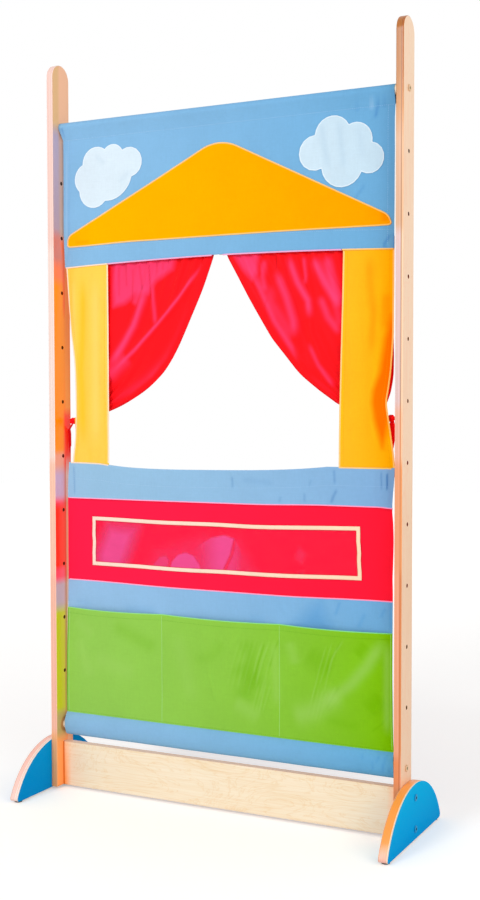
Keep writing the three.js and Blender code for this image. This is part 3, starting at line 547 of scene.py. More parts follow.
def bead(name, path, width, height, closed=False, sides=8, flat=0.3):
    """A bead of a given width and height along a path on the front, with a flatter back."""
    spots = np.array(path, float)
    before = np.roll(spots, 1, 0) if closed else np.vstack([2 * spots[0] - spots[1], spots[:-1]])
    after = np.roll(spots, -1, 0) if closed else np.vstack([spots[1:], 2 * spots[-1] - spots[-2]])
    into = (spots - before) / np.linalg.norm(spots - before, axis=1, keepdims=True)
    out = (after - spots) / np.linalg.norm(after - spots, axis=1, keepdims=True)
    along = (into + out) / np.linalg.norm(into + out, axis=1, keepdims=True)
    mitre = 1 / np.clip((along * out).sum(1), 0.5, 1)
    across = np.cross(along, (0, -1, 0)) * mitre[:, None]
    turns = np.arange(sides) / sides * TURN
    ring = [across * math.cos(t) * width / 2 + np.array([0, -1, 0]) * height * max(math.sin(t), -flat) for t in turns]
    points = (spots[None] + np.array(ring)).transpose(1, 0, 2).reshape(-1, 3)
    count = len(spots)
    faces = []
    for i in range(count if closed else count - 1):
        here, there = i * sides, (i + 1) % count * sides
        faces += [(here + k, here + (k + 1) % sides, there + (k + 1) % sides, there + k) for k in range(sides)]
    if not closed:
        faces += [tuple(range(sides)), tuple(range((count - 1) * sides, count * sides))]
    return mesh_piece(name, points, faces)


def mesh_piece(name, points, faces):
    """A piece from its points and faces, turned right side out and smooth."""
    mesh = bpy.data.meshes.new(name)
    mesh.from_pydata([tuple(point) for point in points], [], faces)
    piece = bpy.data.objects.new(name, mesh)
    bpy.context.collection.objects.link(piece)
    only(piece)
    bpy.ops.object.mode_set(mode="EDIT")
    bpy.ops.mesh.select_all(action="SELECT")
    bpy.ops.mesh.normals_make_consistent(inside=False)
    bpy.ops.object.mode_set(mode="OBJECT")
    bpy.ops.object.shade_smooth_by_angle(angle=SHARP_ANGLE)
    return piece


bpy.ops.mesh.primitive_uv_sphere_add(segments=6, ring_count=4, radius=1)
one_stitch = bpy.context.object
STITCH_POINTS = np.array([point.co for point in one_stitch.data.vertices])
STITCH_FACES = [tuple(face.vertices) for face in one_stitch.data.polygons]
bpy.data.objects.remove(one_stitch)
STITCH_PITCH, STITCH_LENGTH, THREAD_RADIUS = 4.2 * MM, 3.0 * MM, 0.28 * MM


def stitches(name, path):
    """A row of sewn stitches along a path, each a small rounded bead of thread."""
    spots = resample(path, STITCH_PITCH)
    points, faces = [], []
    for start, end in zip(spots[:-1], spots[1:]):
        along = (end - start) / np.linalg.norm(end - start)
        across = np.cross(along, (0, -1, 0))
        across = across / np.linalg.norm(across)
        axes = np.array([across * THREAD_RADIUS, np.cross(across, along) * THREAD_RADIUS, along * STITCH_LENGTH / 2])
        faces += [tuple(len(points) + i for i in face) for face in STITCH_FACES]
        points += list((start + end) / 2 + STITCH_POINTS @ axes)
    return mesh_piece(name, points, faces)


def front_path(line, lift, pitch=6 * MM, closed=False):
    """A path of (x, z) points laid on the hanging front, lifted off its middle plane."""
    spots = resample([(x, 0, z) for x, z in line], pitch, closed)
    if closed:
        spots = spots[:-1]
    spots[:, 1] = billow(spots[:, 0], spots[:, 2]) - lift
    return spots


# %% [markdown]
# ## Shared effects
# Four effects return in many finishes, so each is a node group. The weave crosses two sets of
# fine waves, as warp and weft do, with thicker threads here and there. The dye group gives a cloth
# its colour, painted lighter at the left than at the right as the light falls off, and adds soft
# blotches. The grain draws veneer in long thin lines, and the plies show as stripes on a board's cut edge.

# %% Node group: weave
weave, given, gives = new_group(
    "Plain weave",
    [("Across", "Float", 0.0), ("Along", "Float", 0.0), ("Threads", "Float", 900.0)],
    [("Height", "Float"), ("Tone", "Float")],
)
half_turns = maths(weave, "MULTIPLY", given["Threads"], TURN / 2)
warp, weft = (maths(weave, "SINE", maths(weave, "MULTIPLY", given[way], half_turns)) for way in ("Across", "Along"))
crossing = maths(weave, "MULTIPLY_ADD", maths(weave, "MULTIPLY", warp, weft), 0.5)
crossing.node.inputs[2].default_value = 0.5
lying = joined(weave, X=given["Across"], Y=given["Along"])
slub_down = noise(weave, scaled(weave, lying, (700, 22, 1)), 1.0)
slub_across = noise(weave, scaled(weave, lying, (22, 700, 1)), 1.0)
slubs = maths(weave, "MULTIPLY", maths(weave, "ADD", slub_down, slub_across), 0.5)
weave.links.new(maths(weave, "ADD", maths(weave, "MULTIPLY", crossing, 0.6), slubs), gives["Height"])
weave.links.new(spread(weave, slubs, 0.3, 0.7), gives["Tone"])

# %% Node group: dye of a cloth, with painted light falloff from left to right
shade, given, gives = new_group(
    "Dye with painted light falloff",
    [("Place", "Vector", None), ("Left", "Color", None), ("Right", "Color", None), ("Tone", "Float", 0.5)],
    [("Color", "Color"), ("Roughness", "Float")],
)
share = spread(shade, split(shade, given["Place"])["X"], -0.37, 0.36)
# Painted light falloff: the colour runs from the lighter left of the stand to its deeper right.
dye_and_painted_light = blend_colours(shade, maths(shade, "POWER", share, 1.6), given["Left"], given["Right"])
blotch = noise(shade, given["Place"], 9.0, 3.0, 0.6)
dust = noise(shade, scaled(shade, given["Place"], (160, 160, 160)), 1.0, 3.0)
depth = spread(shade, blotch, 0.25, 0.75, 0.955, 1.03)
depth = maths(shade, "ADD", depth, spread(shade, given["Tone"], 0, 1, -0.03, 0.03))
depth = maths(shade, "ADD", depth, spread(shade, dust, 0.3, 0.7, -0.015, 0.015))
deeper = add_node(shade, "VectorMath", {0: dye_and_painted_light, 1: joined(shade, X=depth, Y=depth, Z=depth)}, operation="MULTIPLY")
shade.links.new(deeper.outputs[0], gives["Color"])
shade.links.new(spread(shade, blotch, 0.2, 0.8, 0.72, 0.88), gives["Roughness"])

# %% Node group: birch grain
grain, given, gives = new_group(
    "Birch grain",
    [("Place", "Vector", None), ("Light", "Color", None), ("Dark", "Color", None)],
    [("Color", "Color"), ("Height", "Float")],
)
wander = noise(grain, scaled(grain, given["Place"], (5, 5, 1.6)), 1.0, 2.0)
bent = add_node(grain, "VectorMath", {0: given["Place"], 1: joined(grain, X=wander, Y=wander)}, operation="ADD")
figure = noise(grain, scaled(grain, bent.outputs[0], (26, 26, 1.2)), 2.0, 3.0, 0.6)
fibres = noise(grain, scaled(grain, given["Place"], (420, 420, 9)), 1.0, 2.0)
cloudy = noise(grain, scaled(grain, given["Place"], (9, 9, 3)), 1.0, 2.0)
veins = spread(grain, maths(grain, "ABSOLUTE", maths(grain, "SUBTRACT", figure, 0.5)), 0.0, 0.035, 0.75, 0.0)
depth = maths(grain, "MULTIPLY", spread(grain, fibres, 0.35, 0.7), 0.35)
depth = maths(grain, "ADD", depth, maths(grain, "MULTIPLY", veins, 0.5))
depth = maths(grain, "ADD", depth, spread(grain, cloudy, 0.3, 0.7, 0.0, 0.35), clamp=True)
grain.links.new(blend_colours(grain, depth, given["Light"], given["Dark"]), gives["Color"])
grain.links.new(maths(grain, "SUBTRACT", 1.0, depth), gives["Height"])

# %% Node group: ply layers on a cut edge
plies, given, gives = new_group(
    "Ply layers",
    [("Layer", "Float", 0.0), ("Place", "Vector", None),
     *((label, "Color", None) for label in ("Light", "Dark", "Glue"))],
    [("Color", "Color")],
)
streak = noise(plies, scaled(plies, given["Place"], (900, 900, 12)), 1.0, 2.0)
every_other = maths(plies, "GREATER_THAN", maths(plies, "MODULO", given["Layer"], 2.0), 1.0)
darkness = maths(plies, "ADD", maths(plies, "MULTIPLY", every_other, 0.55), spread(plies, streak, 0.3, 0.7, 0, 0.45))
layers = blend_colours(plies, darkness, given["Light"], given["Dark"])
from_middle = maths(plies, "ABSOLUTE", maths(plies, "SUBTRACT", maths(plies, "FRACT", given["Layer"]), 0.5))
near_glue = spread(plies, from_middle, 0.38, 0.5)
plies.links.new(blend_colours(plies, near_glue, layers, given["Glue"]), gives["Color"])

# %% [markdown]
# ## Finishes
# Every finish below is made for one stuff on the stand. Cloth is dull with a little sheen at
# grazing angles, satin shines softly, lacquered birch has a clear coat over its grain, and the
# feet are faced with a smooth blue laminate.

# %% Cloth finishes
def weave_on(tree, shader, threads, strength, by_map):
    """Lays the weave on a finish, by the stand's own directions or by the sheet's map."""
    place = add_node(tree, "TexCoord").outputs
    parts = split(tree, place["UV" if by_map else "Object"])
    along = parts["Y" if by_map else "Z"]
    threads_out = use_group(tree, "Plain weave", {"Across": parts["X"], "Along": along, "Threads": threads})
    bump(tree, shader, threads_out["Height"], strength, 0.0004)
    return place["Object"], threads_out["Tone"]


def dyed_cloth(name, left, right, deep=None, pale=None, threads=900.0, strength=0.5, by_map=False, sheen=0.04):
    """A plain woven cloth, painted lighter at the left than the right, with painted shade and highlight in its folds.
    """
    _, tree, shader = new_finish(
        name, Sheen_Weight=sheen, Sheen_Roughness=0.5, Sheen_Tint=colour(left), Specular_IOR_Level=0.5 * sheen,
    )
    place, tone = weave_on(tree, shader, threads, strength, by_map)
    out = use_group(tree, "Dye with painted light falloff", {"Place": place, "Left": colour(left), "Right": colour(right), "Tone": tone})
    dye_and_painted_light = out["Color"]
    for label, fold in (("fold_shadow", deep), ("fold_light", pale)):
        if fold:
            dye_and_painted_light = blend_colours(tree, kept_value(tree, label), dye_and_painted_light, colour(fold))
    tree.links.new(dye_and_painted_light, shader.inputs["Base Color"])
    tree.links.new(out["Roughness"], shader.inputs["Roughness"])


# Each deep colour is painted shade in the folds, and each pale colour a painted highlight on them.
dyed_cloth("Sky cotton", "#86B8DF", "#68A6D1", deep="#3F7FBE", pale="#B4D2EC")
dyed_cloth("Waist sky cotton", "#97C1E0", "#7EABD6", deep="#3A76B4", pale="#B4D2EC")
dyed_cloth("Backing sky cotton", "#95BFE4", "#6CA9D7", deep="#4C94CF", pale="#B4D2EC")
dyed_cloth("Hem sky cotton", "#8BB9DE", "#62A9D6", deep="#4C94CF", pale="#B4D2EC")
dyed_cloth("Cloud cotton", "#DAE9F3", "#BFD8E7", deep="#A9C4D8", threads=1100.0)
dyed_cloth("Cloud edge thread", "#E8F3FB", "#D6E7F1", threads=1600.0, by_map=True)
dyed_cloth("Orange cotton", "#FFB200", "#FF9B00", deep="#EA7A00", sheen=0.01)
dyed_cloth("Peach piping", "#FFD090", "#FFC264", threads=1500.0)
# Pale for the strips' hems, and for painted light from the strips on the valance's and waist band's edges.
dyed_cloth("Strip hem and painted edge glow", "#FFE4C8", "#FFC868", threads=1500.0)
dyed_cloth("Left yellow cotton", "#FFCF52", "#FFC63C", deep="#FFC21E", pale="#FFD670")
dyed_cloth("Right yellow cotton", "#FFCF52", "#FFB000", deep="#FF7400", pale="#FFBE10", sheen=0.0)
dyed_cloth("Red cotton", "#FF204A", "#FF1A35", deep="#D80F2E", pale="#FF3A60")
# Dark red for stitches, and for painted shadow lines under a seam and beside the card window's tape.
dyed_cloth("Dark red thread and painted shade", "#DC1438", "#D41030")
dyed_cloth("Pink seam", "#FFB0D8", "#FF9CC4")
# Lilac is light from the curtains, painted on the valance's bottom edge.
dyed_cloth("Painted lilac edge glow", "#F2B4D8", "#E8A0CC")
dyed_cloth("Green cotton", "#96CD57", "#7DBE00", deep="#6DB000", pale="#9FD062", sheen=0.0)
dyed_cloth("Green hem edge", "#A0EA80", "#86E08C")
dyed_cloth("Green seam", "#A4DA88", "#9CD460")
dyed_cloth("Cream tape", "#FFE4D4", "#FDDDB8", threads=1300.0, strength=0.8)
dyed_cloth("Heading tape", "#F1D8BC", "#EFD4B6", threads=700.0, strength=1.0)
dyed_cloth("Sky thread", "#B4D3EE", "#A0C8E8", threads=1600.0)
dyed_cloth("Orange thread", "#F2A200", "#EB9300", threads=1600.0)
dyed_cloth("Yellow thread", "#F5BE2E", "#F0A600", threads=1600.0)
dyed_cloth("Green thread", "#6FAE38", "#5FA200", threads=1600.0)
dyed_cloth("Cream thread", "#F3D3AE", "#F0CDA4", threads=1600.0)

# %% Satin of the curtains and their ties
_, tree, shader = new_finish(
    "Red satin", Roughness=0.42, Specular_IOR_Level=0.16, Sheen_Weight=0.06, Sheen_Roughness=0.35,
    Specular_Tint=colour("#FF6E9A"), Sheen_Tint=colour("#FF5C8C"),
)
place, tone = weave_on(tree, shader, 1400.0, 0.15, True)
red = use_group(tree, "Dye with painted light falloff", {
    "Place": place, "Left": colour("#FF161E"), "Right": colour("#FF161A"), "Tone": tone,
})
# Painted highlight: the satin turns pink where it is painted to shine, and dark red where shade is painted.
lit = blend_colours(tree, kept_value(tree, "painted_sheen"), red["Color"], colour("#FF4478"))
shadow = maths(tree, "MULTIPLY", kept_value(tree, "fold_shadow"), 0.8)
tree.links.new(blend_colours(tree, shadow, lit, colour("#A80418")), shader.inputs["Base Color"])

# %% [markdown]
# The card window is clear vinyl. It shows mostly by its glare, so its points carry a painted mask
# of where it bulges and catches the light, and the mask makes the film paler and less clear there.

# %% Clear film
_, tree, shader = new_finish("Clear vinyl", Roughness=0.12, Specular_IOR_Level=0.2)
glare = kept_value(tree, "glare")
tree.links.new(blend_colours(tree, glare, colour("#FF2C56"), colour("#FF5AAA")), shader.inputs["Base Color"])
smear = noise(tree, scaled(tree, stand_place(tree), (30, 30, 60)), 1.0, 3.0)
cover = maths(tree, "ADD", maths(tree, "MULTIPLY", glare, 0.76), spread(tree, smear, 0.3, 0.7, 0.07, 0.13))
tree.links.new(cover, shader.inputs["Alpha"])
bump(tree, shader, smear, 0.2, 0.002)

# %% [markdown]
# A board shows its veneer on its broad faces and its plies on its cut edges. What stands beside it
# throws its colour on it, so ramps up its height carry painted light, the glow of each band of cloth.

# %% Board finish
BOARD_THICKNESS, FOOT_CORE_THICKNESS = 15 * MM, 16 * MM
UPRIGHT_INNER, FOOT_INNER = 372 * MM, 388 * MM
STAND_HEIGHT = 1.505
EDGE_JOIN = 0.3834


def zones(tree, value, stops):
    """A ramp of colours through stops of (place, colour)."""
    ramp = add_node(tree, "ValToRGB", {"Fac": value})
    marks = ramp.color_ramp.elements
    marks[0].position, marks[0].color = stops[0][0], colour(stops[0][1])
    marks[1].position, marks[1].color = stops[-1][0], colour(stops[-1][1])
    for place, code in stops[1:-1]:
        marks.new(place).color = colour(code)
    return ramp.outputs["Color"]


def quarter_turned(tree, vector):
    """A place turned about Y, so that grain which runs up runs across."""
    return add_node(tree, "Mapping", {"Vector": vector, "Rotation": (0, TURN / 4, 0)}).outputs[0]


def plywood(name, axis, thickness, layers, light, dark, edges, glue, along, face_at, both_sides=True):
    """A lacquered birch board: grain on its faces, and plies on its cut edges in painted light, paler at the left."""
    _, tree, shader = new_finish(name, Roughness=0.36, Specular_IOR_Level=0.3, Coat_Weight=0.15, Coat_Roughness=0.18)
    place = stand_place(tree)
    turned = place if along == "Z" else quarter_turned(tree, place)
    parts = split(tree, place)
    normal = split(tree, add_node(tree, "NewGeometry").outputs["Normal"])
    depth = maths(tree, "ABSOLUTE", parts[axis]) if both_sides else parts[axis]
    layer = maths(tree, "MULTIPLY", maths(tree, "SUBTRACT", depth, face_at), layers / thickness)
    on_face = spread(tree, maths(tree, "ABSOLUTE", normal[axis]), 0.72, 0.9)
    rightness = spread(tree, parts["X"], -0.36, 0.36)
    if callable(edges):
        edge_light, edge_dark = edges(tree, parts, rightness)
    else:
        edge_light, edge_dark = (blend_colours(tree, rightness, colour(left), colour(right)) for left, right in edges)
    veneer = use_group(tree, "Birch grain", {"Place": turned, "Light": colour(light), "Dark": colour(dark)})
    edge = use_group(tree, "Ply layers", {
        "Layer": layer, "Place": turned, "Light": edge_light, "Dark": edge_dark, "Glue": colour(glue),
    })
    bump(tree, shader, veneer["Height"], 0.12, 0.0004)
    return tree, shader, parts, normal, on_face, edge["Color"], veneer["Color"]


# %% Uprights, feet and rail
def by_height(tree, parts, rows):
    """A ramp of colours up the stand, from rows of (height, colour), or (low, high, colour) for a band."""
    stops = [(height / STAND_HEIGHT, code) for *heights, code in rows for height in heights]
    return zones(tree, maths(tree, "DIVIDE", parts["Z"], STAND_HEIGHT), stops)


# Painted light from the cloth on the uprights' inner faces, in three strips of depth, and then the
# painted light and shade of their front edges. Each colour holds for the height of what it comes from.
FRONT_GLOW = [
    (0, 0.1, "#FFA058"), (0.12, 0.155, "#C8A860"), (0.17, 0.37, "#CFC81E"), (0.39, 0.43, "#C8A8B0"),
    (0.445, 0.46, "#FF5068"), (0.47, 0.59, "#FF3418"), (0.602, "#FF4A60"), (0.615, 0.66, "#CFA8C4"),
    (0.68, 0.7, "#F0A088"), (0.712, 1.05, "#FF9200"), (1.07, 1.09, "#FF8050"), (1.11, 1.15, "#DC8070"),
    (1.17, "#BC9CA6"), (1.36, "#BFA8B8"), (1.385, 1.505, "#E0B27C"),
]
MIDDLE_GLOW = [
    (0, 0.15, "#FF9A58"), (0.165, 0.38, "#D89850"), (0.39, 0.43, "#D8906C"), (0.447, 0.6, "#FF4420"),
    (0.617, 0.66, "#E08878"), (0.68, 0.78, "#FF3818"), (0.8, 0.98, "#FF8A10"), (1.01, 1.08, "#FF5A10"),
    (1.1, 1.14, "#FF6A30"), (1.16, 1.34, "#C09C90"), (1.385, 1.505, "#EEB690"),
]
REAR_GLOW = [
    (0, 0.13, "#FFB080"), (0.15, 0.38, "#FFD8A8"), (0.39, 0.43, "#FFD0B8"), (0.447, 0.6, "#FFB488"),
    (0.617, 0.66, "#FFD8CC"), (0.7, 0.78, "#FF3818"), (0.8, "#FF9A30"), (1.08, "#FF8424"), (1.16, 1.34, "#B8AC88"),
    (1.385, 1.505, "#EEB690"),
]
LEFT_EDGE = [
    (0, "#FFB478"), (0.11, "#FFB880"), (0.13, 0.44, "#FFC3AE"), (0.46, 0.68, "#FFCDB6"), (0.7, 1.12, "#FBE6DE"),
    (1.14, 1.505, "#FAD8D0"),
]
RIGHT_EDGE_INNER = [
    (0, 0.15, "#F0905C"), (0.17, 0.49, "#F4A884"), (0.51, 0.69, "#F0A478"), (0.71, 0.79, "#F0B8A0"),
    (0.81, 1.11, "#E4C8C8"), (1.13, 1.28, "#DCB090"), (1.34, "#C88C50"), (1.4, "#B47228"), (1.505, "#A8621C"),
]
RIGHT_EDGE_OUTER = [
    (0, 0.15, "#F0A07C"), (0.17, 0.49, "#E08A54"), (0.51, 0.69, "#F09C60"), (0.71, 0.79, "#FFC8A0"),
    (0.81, 1.11, "#FFD6B0"), (1.13, 1.28, "#F0BC90"), (1.34, "#D89050"), (1.4, "#BC6C22"), (1.505, "#AC5C14"),
]
RIGHT_EDGE_LINE = [
    (0, 0.15, "#C05C28"), (0.17, 0.49, "#D06A34"), (0.51, 0.79, "#E08850"), (0.81, 1.11, "#B08868"),
    (1.13, 1.28, "#A87850"), (1.4, "#94561E"), (1.505, "#8C4C18"),
]


def upright_edge(tree, parts, rightness):
    """The uprights' front edges in painted light: pale at left, and at right two halves with a dark line between."""
    out = maths(tree, "ABSOLUTE", parts["X"])
    left = by_height(tree, parts, LEFT_EDGE)
    arris = maths(tree, "MULTIPLY", spread(tree, out, 0.3728, 0.3722), spread(tree, parts["Z"], 0.9, 1.05, 0.3, 0.9))
    left = blend_colours(tree, arris, left, colour("#C09468"))
    inner, outer = by_height(tree, parts, RIGHT_EDGE_INNER), by_height(tree, parts, RIGHT_EDGE_OUTER)
    halves = blend_colours(tree, spread(tree, out, 0.3826, 0.3838), inner, outer)
    from_join = maths(tree, "ABSOLUTE", maths(tree, "SUBTRACT", out, EDGE_JOIN))
    line = spread(tree, from_join, 0.0005, 0.0012, 1.0, 0.0)
    right = blend_colours(tree, line, halves, by_height(tree, parts, RIGHT_EDGE_LINE))
    light = blend_colours(tree, rightness, left, right)
    return light, blend_colours(tree, 0.14, light, colour("#9A4E20"))


tree, shader, parts, normal, on_face, cut, veneer = plywood(
    "Birch upright", "X", BOARD_THICKNESS, 5, "#FFDFBC", "#FFCAA2", upright_edge, "#D08858", "Z", UPRIGHT_INNER,
)
inward = maths(tree, "LESS_THAN", maths(tree, "MULTIPLY", normal["X"], parts["X"]), 0.0)

# The painted glow on the inner face changes from strip to strip, with a painted shadow round the lower rod's end.
past = maths(tree, "SUBTRACT", parts["Y"], spread(tree, parts["Z"], 1.1, 1.16, 0.003, -0.008))
front_glow, middle_glow, rear_glow = (by_height(tree, parts, rows) for rows in (FRONT_GLOW, MIDDLE_GLOW, REAR_GLOW))
glow = blend_colours(tree, spread(tree, past, -0.004, 0.005), front_glow, middle_glow)
glow = blend_colours(tree, spread(tree, parts["Y"], 0.0085, 0.0105), glow, rear_glow)
from_rod = joined(tree, Y=parts["Y"], Z=maths(tree, "SUBTRACT", parts["Z"], LOWER_ROD_Z))
off_rod = add_node(tree, "VectorMath", {0: from_rod}, operation="LENGTH").outputs["Value"]
glow = blend_colours(tree, spread(tree, off_rod, 0.014, 0.018, 0.6, 0.0), glow, colour("#A4562C"))
board = blend_colours(tree, on_face, cut, blend_colours(tree, inward, veneer, glow))

# Shade is painted on the walls of the bored holes, which are what is no broad face, near the board's middle.
HOLES_HALF_DEPTH, HOLES_TOP = 7 * MM, 1.49
near_middle = maths(tree, "LESS_THAN", maths(tree, "ABSOLUTE", parts["Y"]), HOLES_HALF_DEPTH)
in_hole = maths(tree, "MULTIPLY", near_middle, maths(tree, "LESS_THAN", parts["Z"], HOLES_TOP))
in_hole = maths(tree, "MULTIPLY", in_hole, maths(tree, "SUBTRACT", 1.0, on_face))
hole_shade = blend_colours(tree, 0.74, middle_glow, colour("#140A06"))
tree.links.new(blend_colours(tree, in_hole, board, hole_shade), shader.inputs["Base Color"])

# Painted bounce light: the inner face glows faintly, as emission, in the colour of the lit cloth.
BOUNCE_STRENGTH = 0.16
bounce = maths(tree, "MULTIPLY", inward, on_face)
tree.links.new(blend_colours(tree, bounce, colour("#000000"), glow), shader.inputs["Emission Color"])
shader.inputs["Emission Strength"].default_value = BOUNCE_STRENGTH


def foot_edge(tree, parts, rightness):
    """The feet's rims: paler towards the floor, with a cream line beside the laminate on their lit side."""
    # Painted light: the rims are paler near the floor and orange up the right foot, with cream on their lit side.
    up = spread(tree, parts["Z"], 0.004, spread(tree, rightness, 0.0, 1.0, 0.09, 0.036))
    left = blend_colours(tree, up, colour("#FFE0D8"), colour("#FFC8BC"))
    right = blend_colours(tree, up, colour("#F8C8C0"), colour("#FFA03C"))
    light = blend_colours(tree, rightness, left, right)
    left_line = spread(tree, parts["X"], -0.3962, -0.3942)
    left_line = maths(tree, "MULTIPLY", left_line, maths(tree, "LESS_THAN", parts["X"], 0.0))
    line = maths(tree, "ADD", maths(tree, "GREATER_THAN", parts["X"], 0.4024), left_line)
    cream = blend_colours(tree, rightness, colour("#FFF4EC"), colour("#FFE6C4"))
    return blend_colours(tree, line, light, cream), blend_colours(tree, 0.12, light, colour("#C06020"))


tree, shader, parts, _, on_face, cut, veneer = plywood(
    "Birch foot edge", "X", FOOT_CORE_THICKNESS, 7, "#FBDDBB", "#F2CBA0", foot_edge, "#F0A070", "Y", FOOT_INNER,
)
tree.links.new(blend_colours(tree, on_face, cut, veneer), shader.inputs["Base Color"])

tree, shader, parts, _, on_face, cut, veneer = plywood(
    "Birch rail", "Y", BOARD_THICKNESS, 5, "#FFF1DA", "#F2D2A4", [("#F0CDB4", "#DDB090"), ("#E6C0A0", "#D4A684")],
    "#C09070", "X", -BOARD_THICKNESS / 2, False,
)
# Painted light: the cloth's orange glow near the uprights, deepest low down, and a painted shadow line at the left.
low_down = spread(tree, parts["Z"], 0.02, 0.098, 1.0, 0.35)
RAIL_PAINTED_LIGHT = [
    (spread(tree, parts["X"], -UPRIGHT_INNER, -0.312, 0.45, 0.0), "#FFC8A0"),
    (maths(tree, "MULTIPLY", spread(tree, parts["X"], -UPRIGHT_INNER, -0.352, 1.0, 0.0), low_down), "#FF9420"),
    (spread(tree, parts["X"], -0.37, -0.368, 0.95, 0.0), "#DC6C04"),
    (spread(tree, parts["X"], 0.352, UPRIGHT_INNER, 0.0, 0.5), "#FFB070"),
]
for share, code in RAIL_PAINTED_LIGHT:
    veneer = blend_colours(tree, share, veneer, colour(code))
tree.links.new(blend_colours(tree, on_face, cut, veneer), shader.inputs["Base Color"])

# %% Rod, laminate, plastic and metal
_, tree, shader = new_finish("Beech rod", Roughness=0.5)
place = quarter_turned(tree, stand_place(tree))
rod_grain = use_group(tree, "Birch grain", {"Place": place, "Light": colour("#FDF0DC"), "Dark": colour("#EED6B4")})
tree.links.new(rod_grain["Color"], shader.inputs["Base Color"])
bump(tree, shader, rod_grain["Height"], 0.2, 0.0005)

_, tree, shader = new_finish(
    "Blue laminate", Roughness=0.34, Specular_IOR_Level=0.0, Coat_Weight=0.06, Coat_Roughness=0.15,
)
FOOT_HEIGHT = 107 * MM
place = stand_place(tree)
parts = split(tree, place)
across = parts["X"]
facing = split(tree, add_node(tree, "NewGeometry").outputs["Normal"])["X"]
rightness = spread(tree, across, -0.38, 0.38)
# Painted light and shade: the blue is darker low down and at the left; the rim is cream on its lit side.
low_blue = blend_colours(tree, rightness, colour("#0091DE"), colour("#009EE2"))
high_blue = blend_colours(tree, rightness, colour("#009EE8"), colour("#00BAF0"))
blue = blend_colours(tree, spread(tree, parts["Z"], 0.0, FOOT_HEIGHT), low_blue, high_blue)
speckle = noise(tree, place, 260.0, 3.0)
blue = blend_colours(tree, spread(tree, speckle, 0.35, 0.65, 0, 0.1), blue, colour("#1FB4E4"))
rim = spread(tree, maths(tree, "ABSOLUTE", facing), 0.6, 0.9, 1.0, 0.0)
at_left = maths(tree, "LESS_THAN", across, 0.0)
left_inner = maths(tree, "MULTIPLY", maths(tree, "GREATER_THAN", across, -0.389), at_left)
lit_side = maths(tree, "ADD", maths(tree, "GREATER_THAN", across, 0.4035), left_inner)
rim_colour = blend_colours(tree, lit_side, colour("#FFB070"), colour("#FFE6C4"))
tree.links.new(blend_colours(tree, rim, blue, rim_colour), shader.inputs["Base Color"])
tree.links.new(spread(tree, speckle, 0.3, 0.7, 0.26, 0.38), shader.inputs["Roughness"])
bump(tree, shader, speckle, 0.08, 0.0003)


def bolt_heights(kind):
    """The heights of the lower and the upper bolts of a kind."""
    return [middle_z(f"right_{level}_{kind}_bolt") for level in ("lower", "upper")]


def speckled(name, light, dark, scale, low, high, socket=None, socket_shade="#101010", **shader_values):
    """A hard finish with a fine speckle in its colour and its roughness, and painted shade in a bolt's socket."""
    _, tree, shader = new_finish(name, **shader_values)
    place = stand_place(tree)
    grit = noise(tree, place, scale, 4.0)
    base = blend_colours(tree, spread(tree, grit, 0.3, 0.7), colour(light), colour(dark))
    for height in socket or ():
        flat = add_node(tree, "VectorMath", {0: place, 1: (0, 1, 1)}, operation="MULTIPLY").outputs[0]
        away = add_node(tree, "VectorMath", {0: flat, 1: (0, 0, height)}, operation="DISTANCE").outputs["Value"]
        base = blend_colours(tree, spread(tree, away, 0.0024, 0.0030, 1.0, 0.0), base, colour(socket_shade))
    tree.links.new(base, shader.inputs["Base Color"])
    tree.links.new(spread(tree, grit, 0.3, 0.7, low, high), shader.inputs["Roughness"])
    bump(tree, shader, grit, 0.1, 0.0002)


speckled("Black plastic", "#151518", "#0B0B0D", 700.0, 0.42, 0.58)
speckled("Zinc-plated steel", "#D6D8DA", "#B8BBBE", 900.0, 0.22, 0.4, Metallic=0.9)
speckled("Brass", "#D9B25E", "#BE9440", 900.0, 0.25, 0.42, Metallic=0.9)
# The foot bolts' heads are painted with the blue that they reflect from the laminate.
speckled("Bolt with painted blue reflection", "#2FA0CC", "#1C98D0", 900.0, 0.3, 0.45, bolt_heights("foot"), "#0E3038",
         Specular_IOR_Level=0.1)
# The rod bolts' heads are peach, like the board round them.
speckled("Peach bolt", "#F2CDA6", "#E4BC94", 900.0, 0.3, 0.45, bolt_heights("rod"), "#8C8A60",
         Specular_IOR_Level=0.1)
print("finishes made:", len(bpy.data.materials))

# %% [markdown]
# ## Boards, rods and fittings
# The CAD model already has the true shape of everything hard. Its mesh is loose triangles, so each
# part is copied, its doubles are merged and its round faces are smoothed. The feet, their skins, the
# barrel nuts and the inserts also get their sharp arrises eased with a narrow bevel. Each copy stands
# for its CAD node and rides on its body.

# %% Dressed copies of the hard parts
HARD_PARTS = [
    ("left_upright", "Birch upright", "birch", 0), ("right_upright", "Birch upright", "birch", 0),
    ("left_foot", "Birch foot edge", "pale_birch", 0.5), ("right_foot", "Birch foot edge", "pale_birch", 0.5),
    ("bottom_rail", "Birch rail", "pale_birch", 0), ("upper_rod", "Beech rod", "beech", 0),
    ("lower_rod", "Beech rod", "beech", 0),
]
for side in ("left", "right"):
    HARD_PARTS += [(f"{side}_foot_{face}_skin", "Blue laminate", "blue_laminate", 0.3) for face in ("inner", "outer")]
    HARD_PARTS += [(f"{side}_{end}_glide", "Black plastic", "black_plastic", 0) for end in ("front", "rear")]
    for level in ("lower", "upper"):
        HARD_PARTS += [
            (f"{side}_{level}_foot_bolt", "Bolt with painted blue reflection", "steel", 0),
            (f"{side}_{level}_rod_bolt", "Peach bolt", "steel", 0),
            (f"{side}_{level}_barrel_nut", "Zinc-plated steel", "steel", 0.2),
            (f"{side}_{level}_rod_insert", "Brass", "brass", 0.2),
        ]


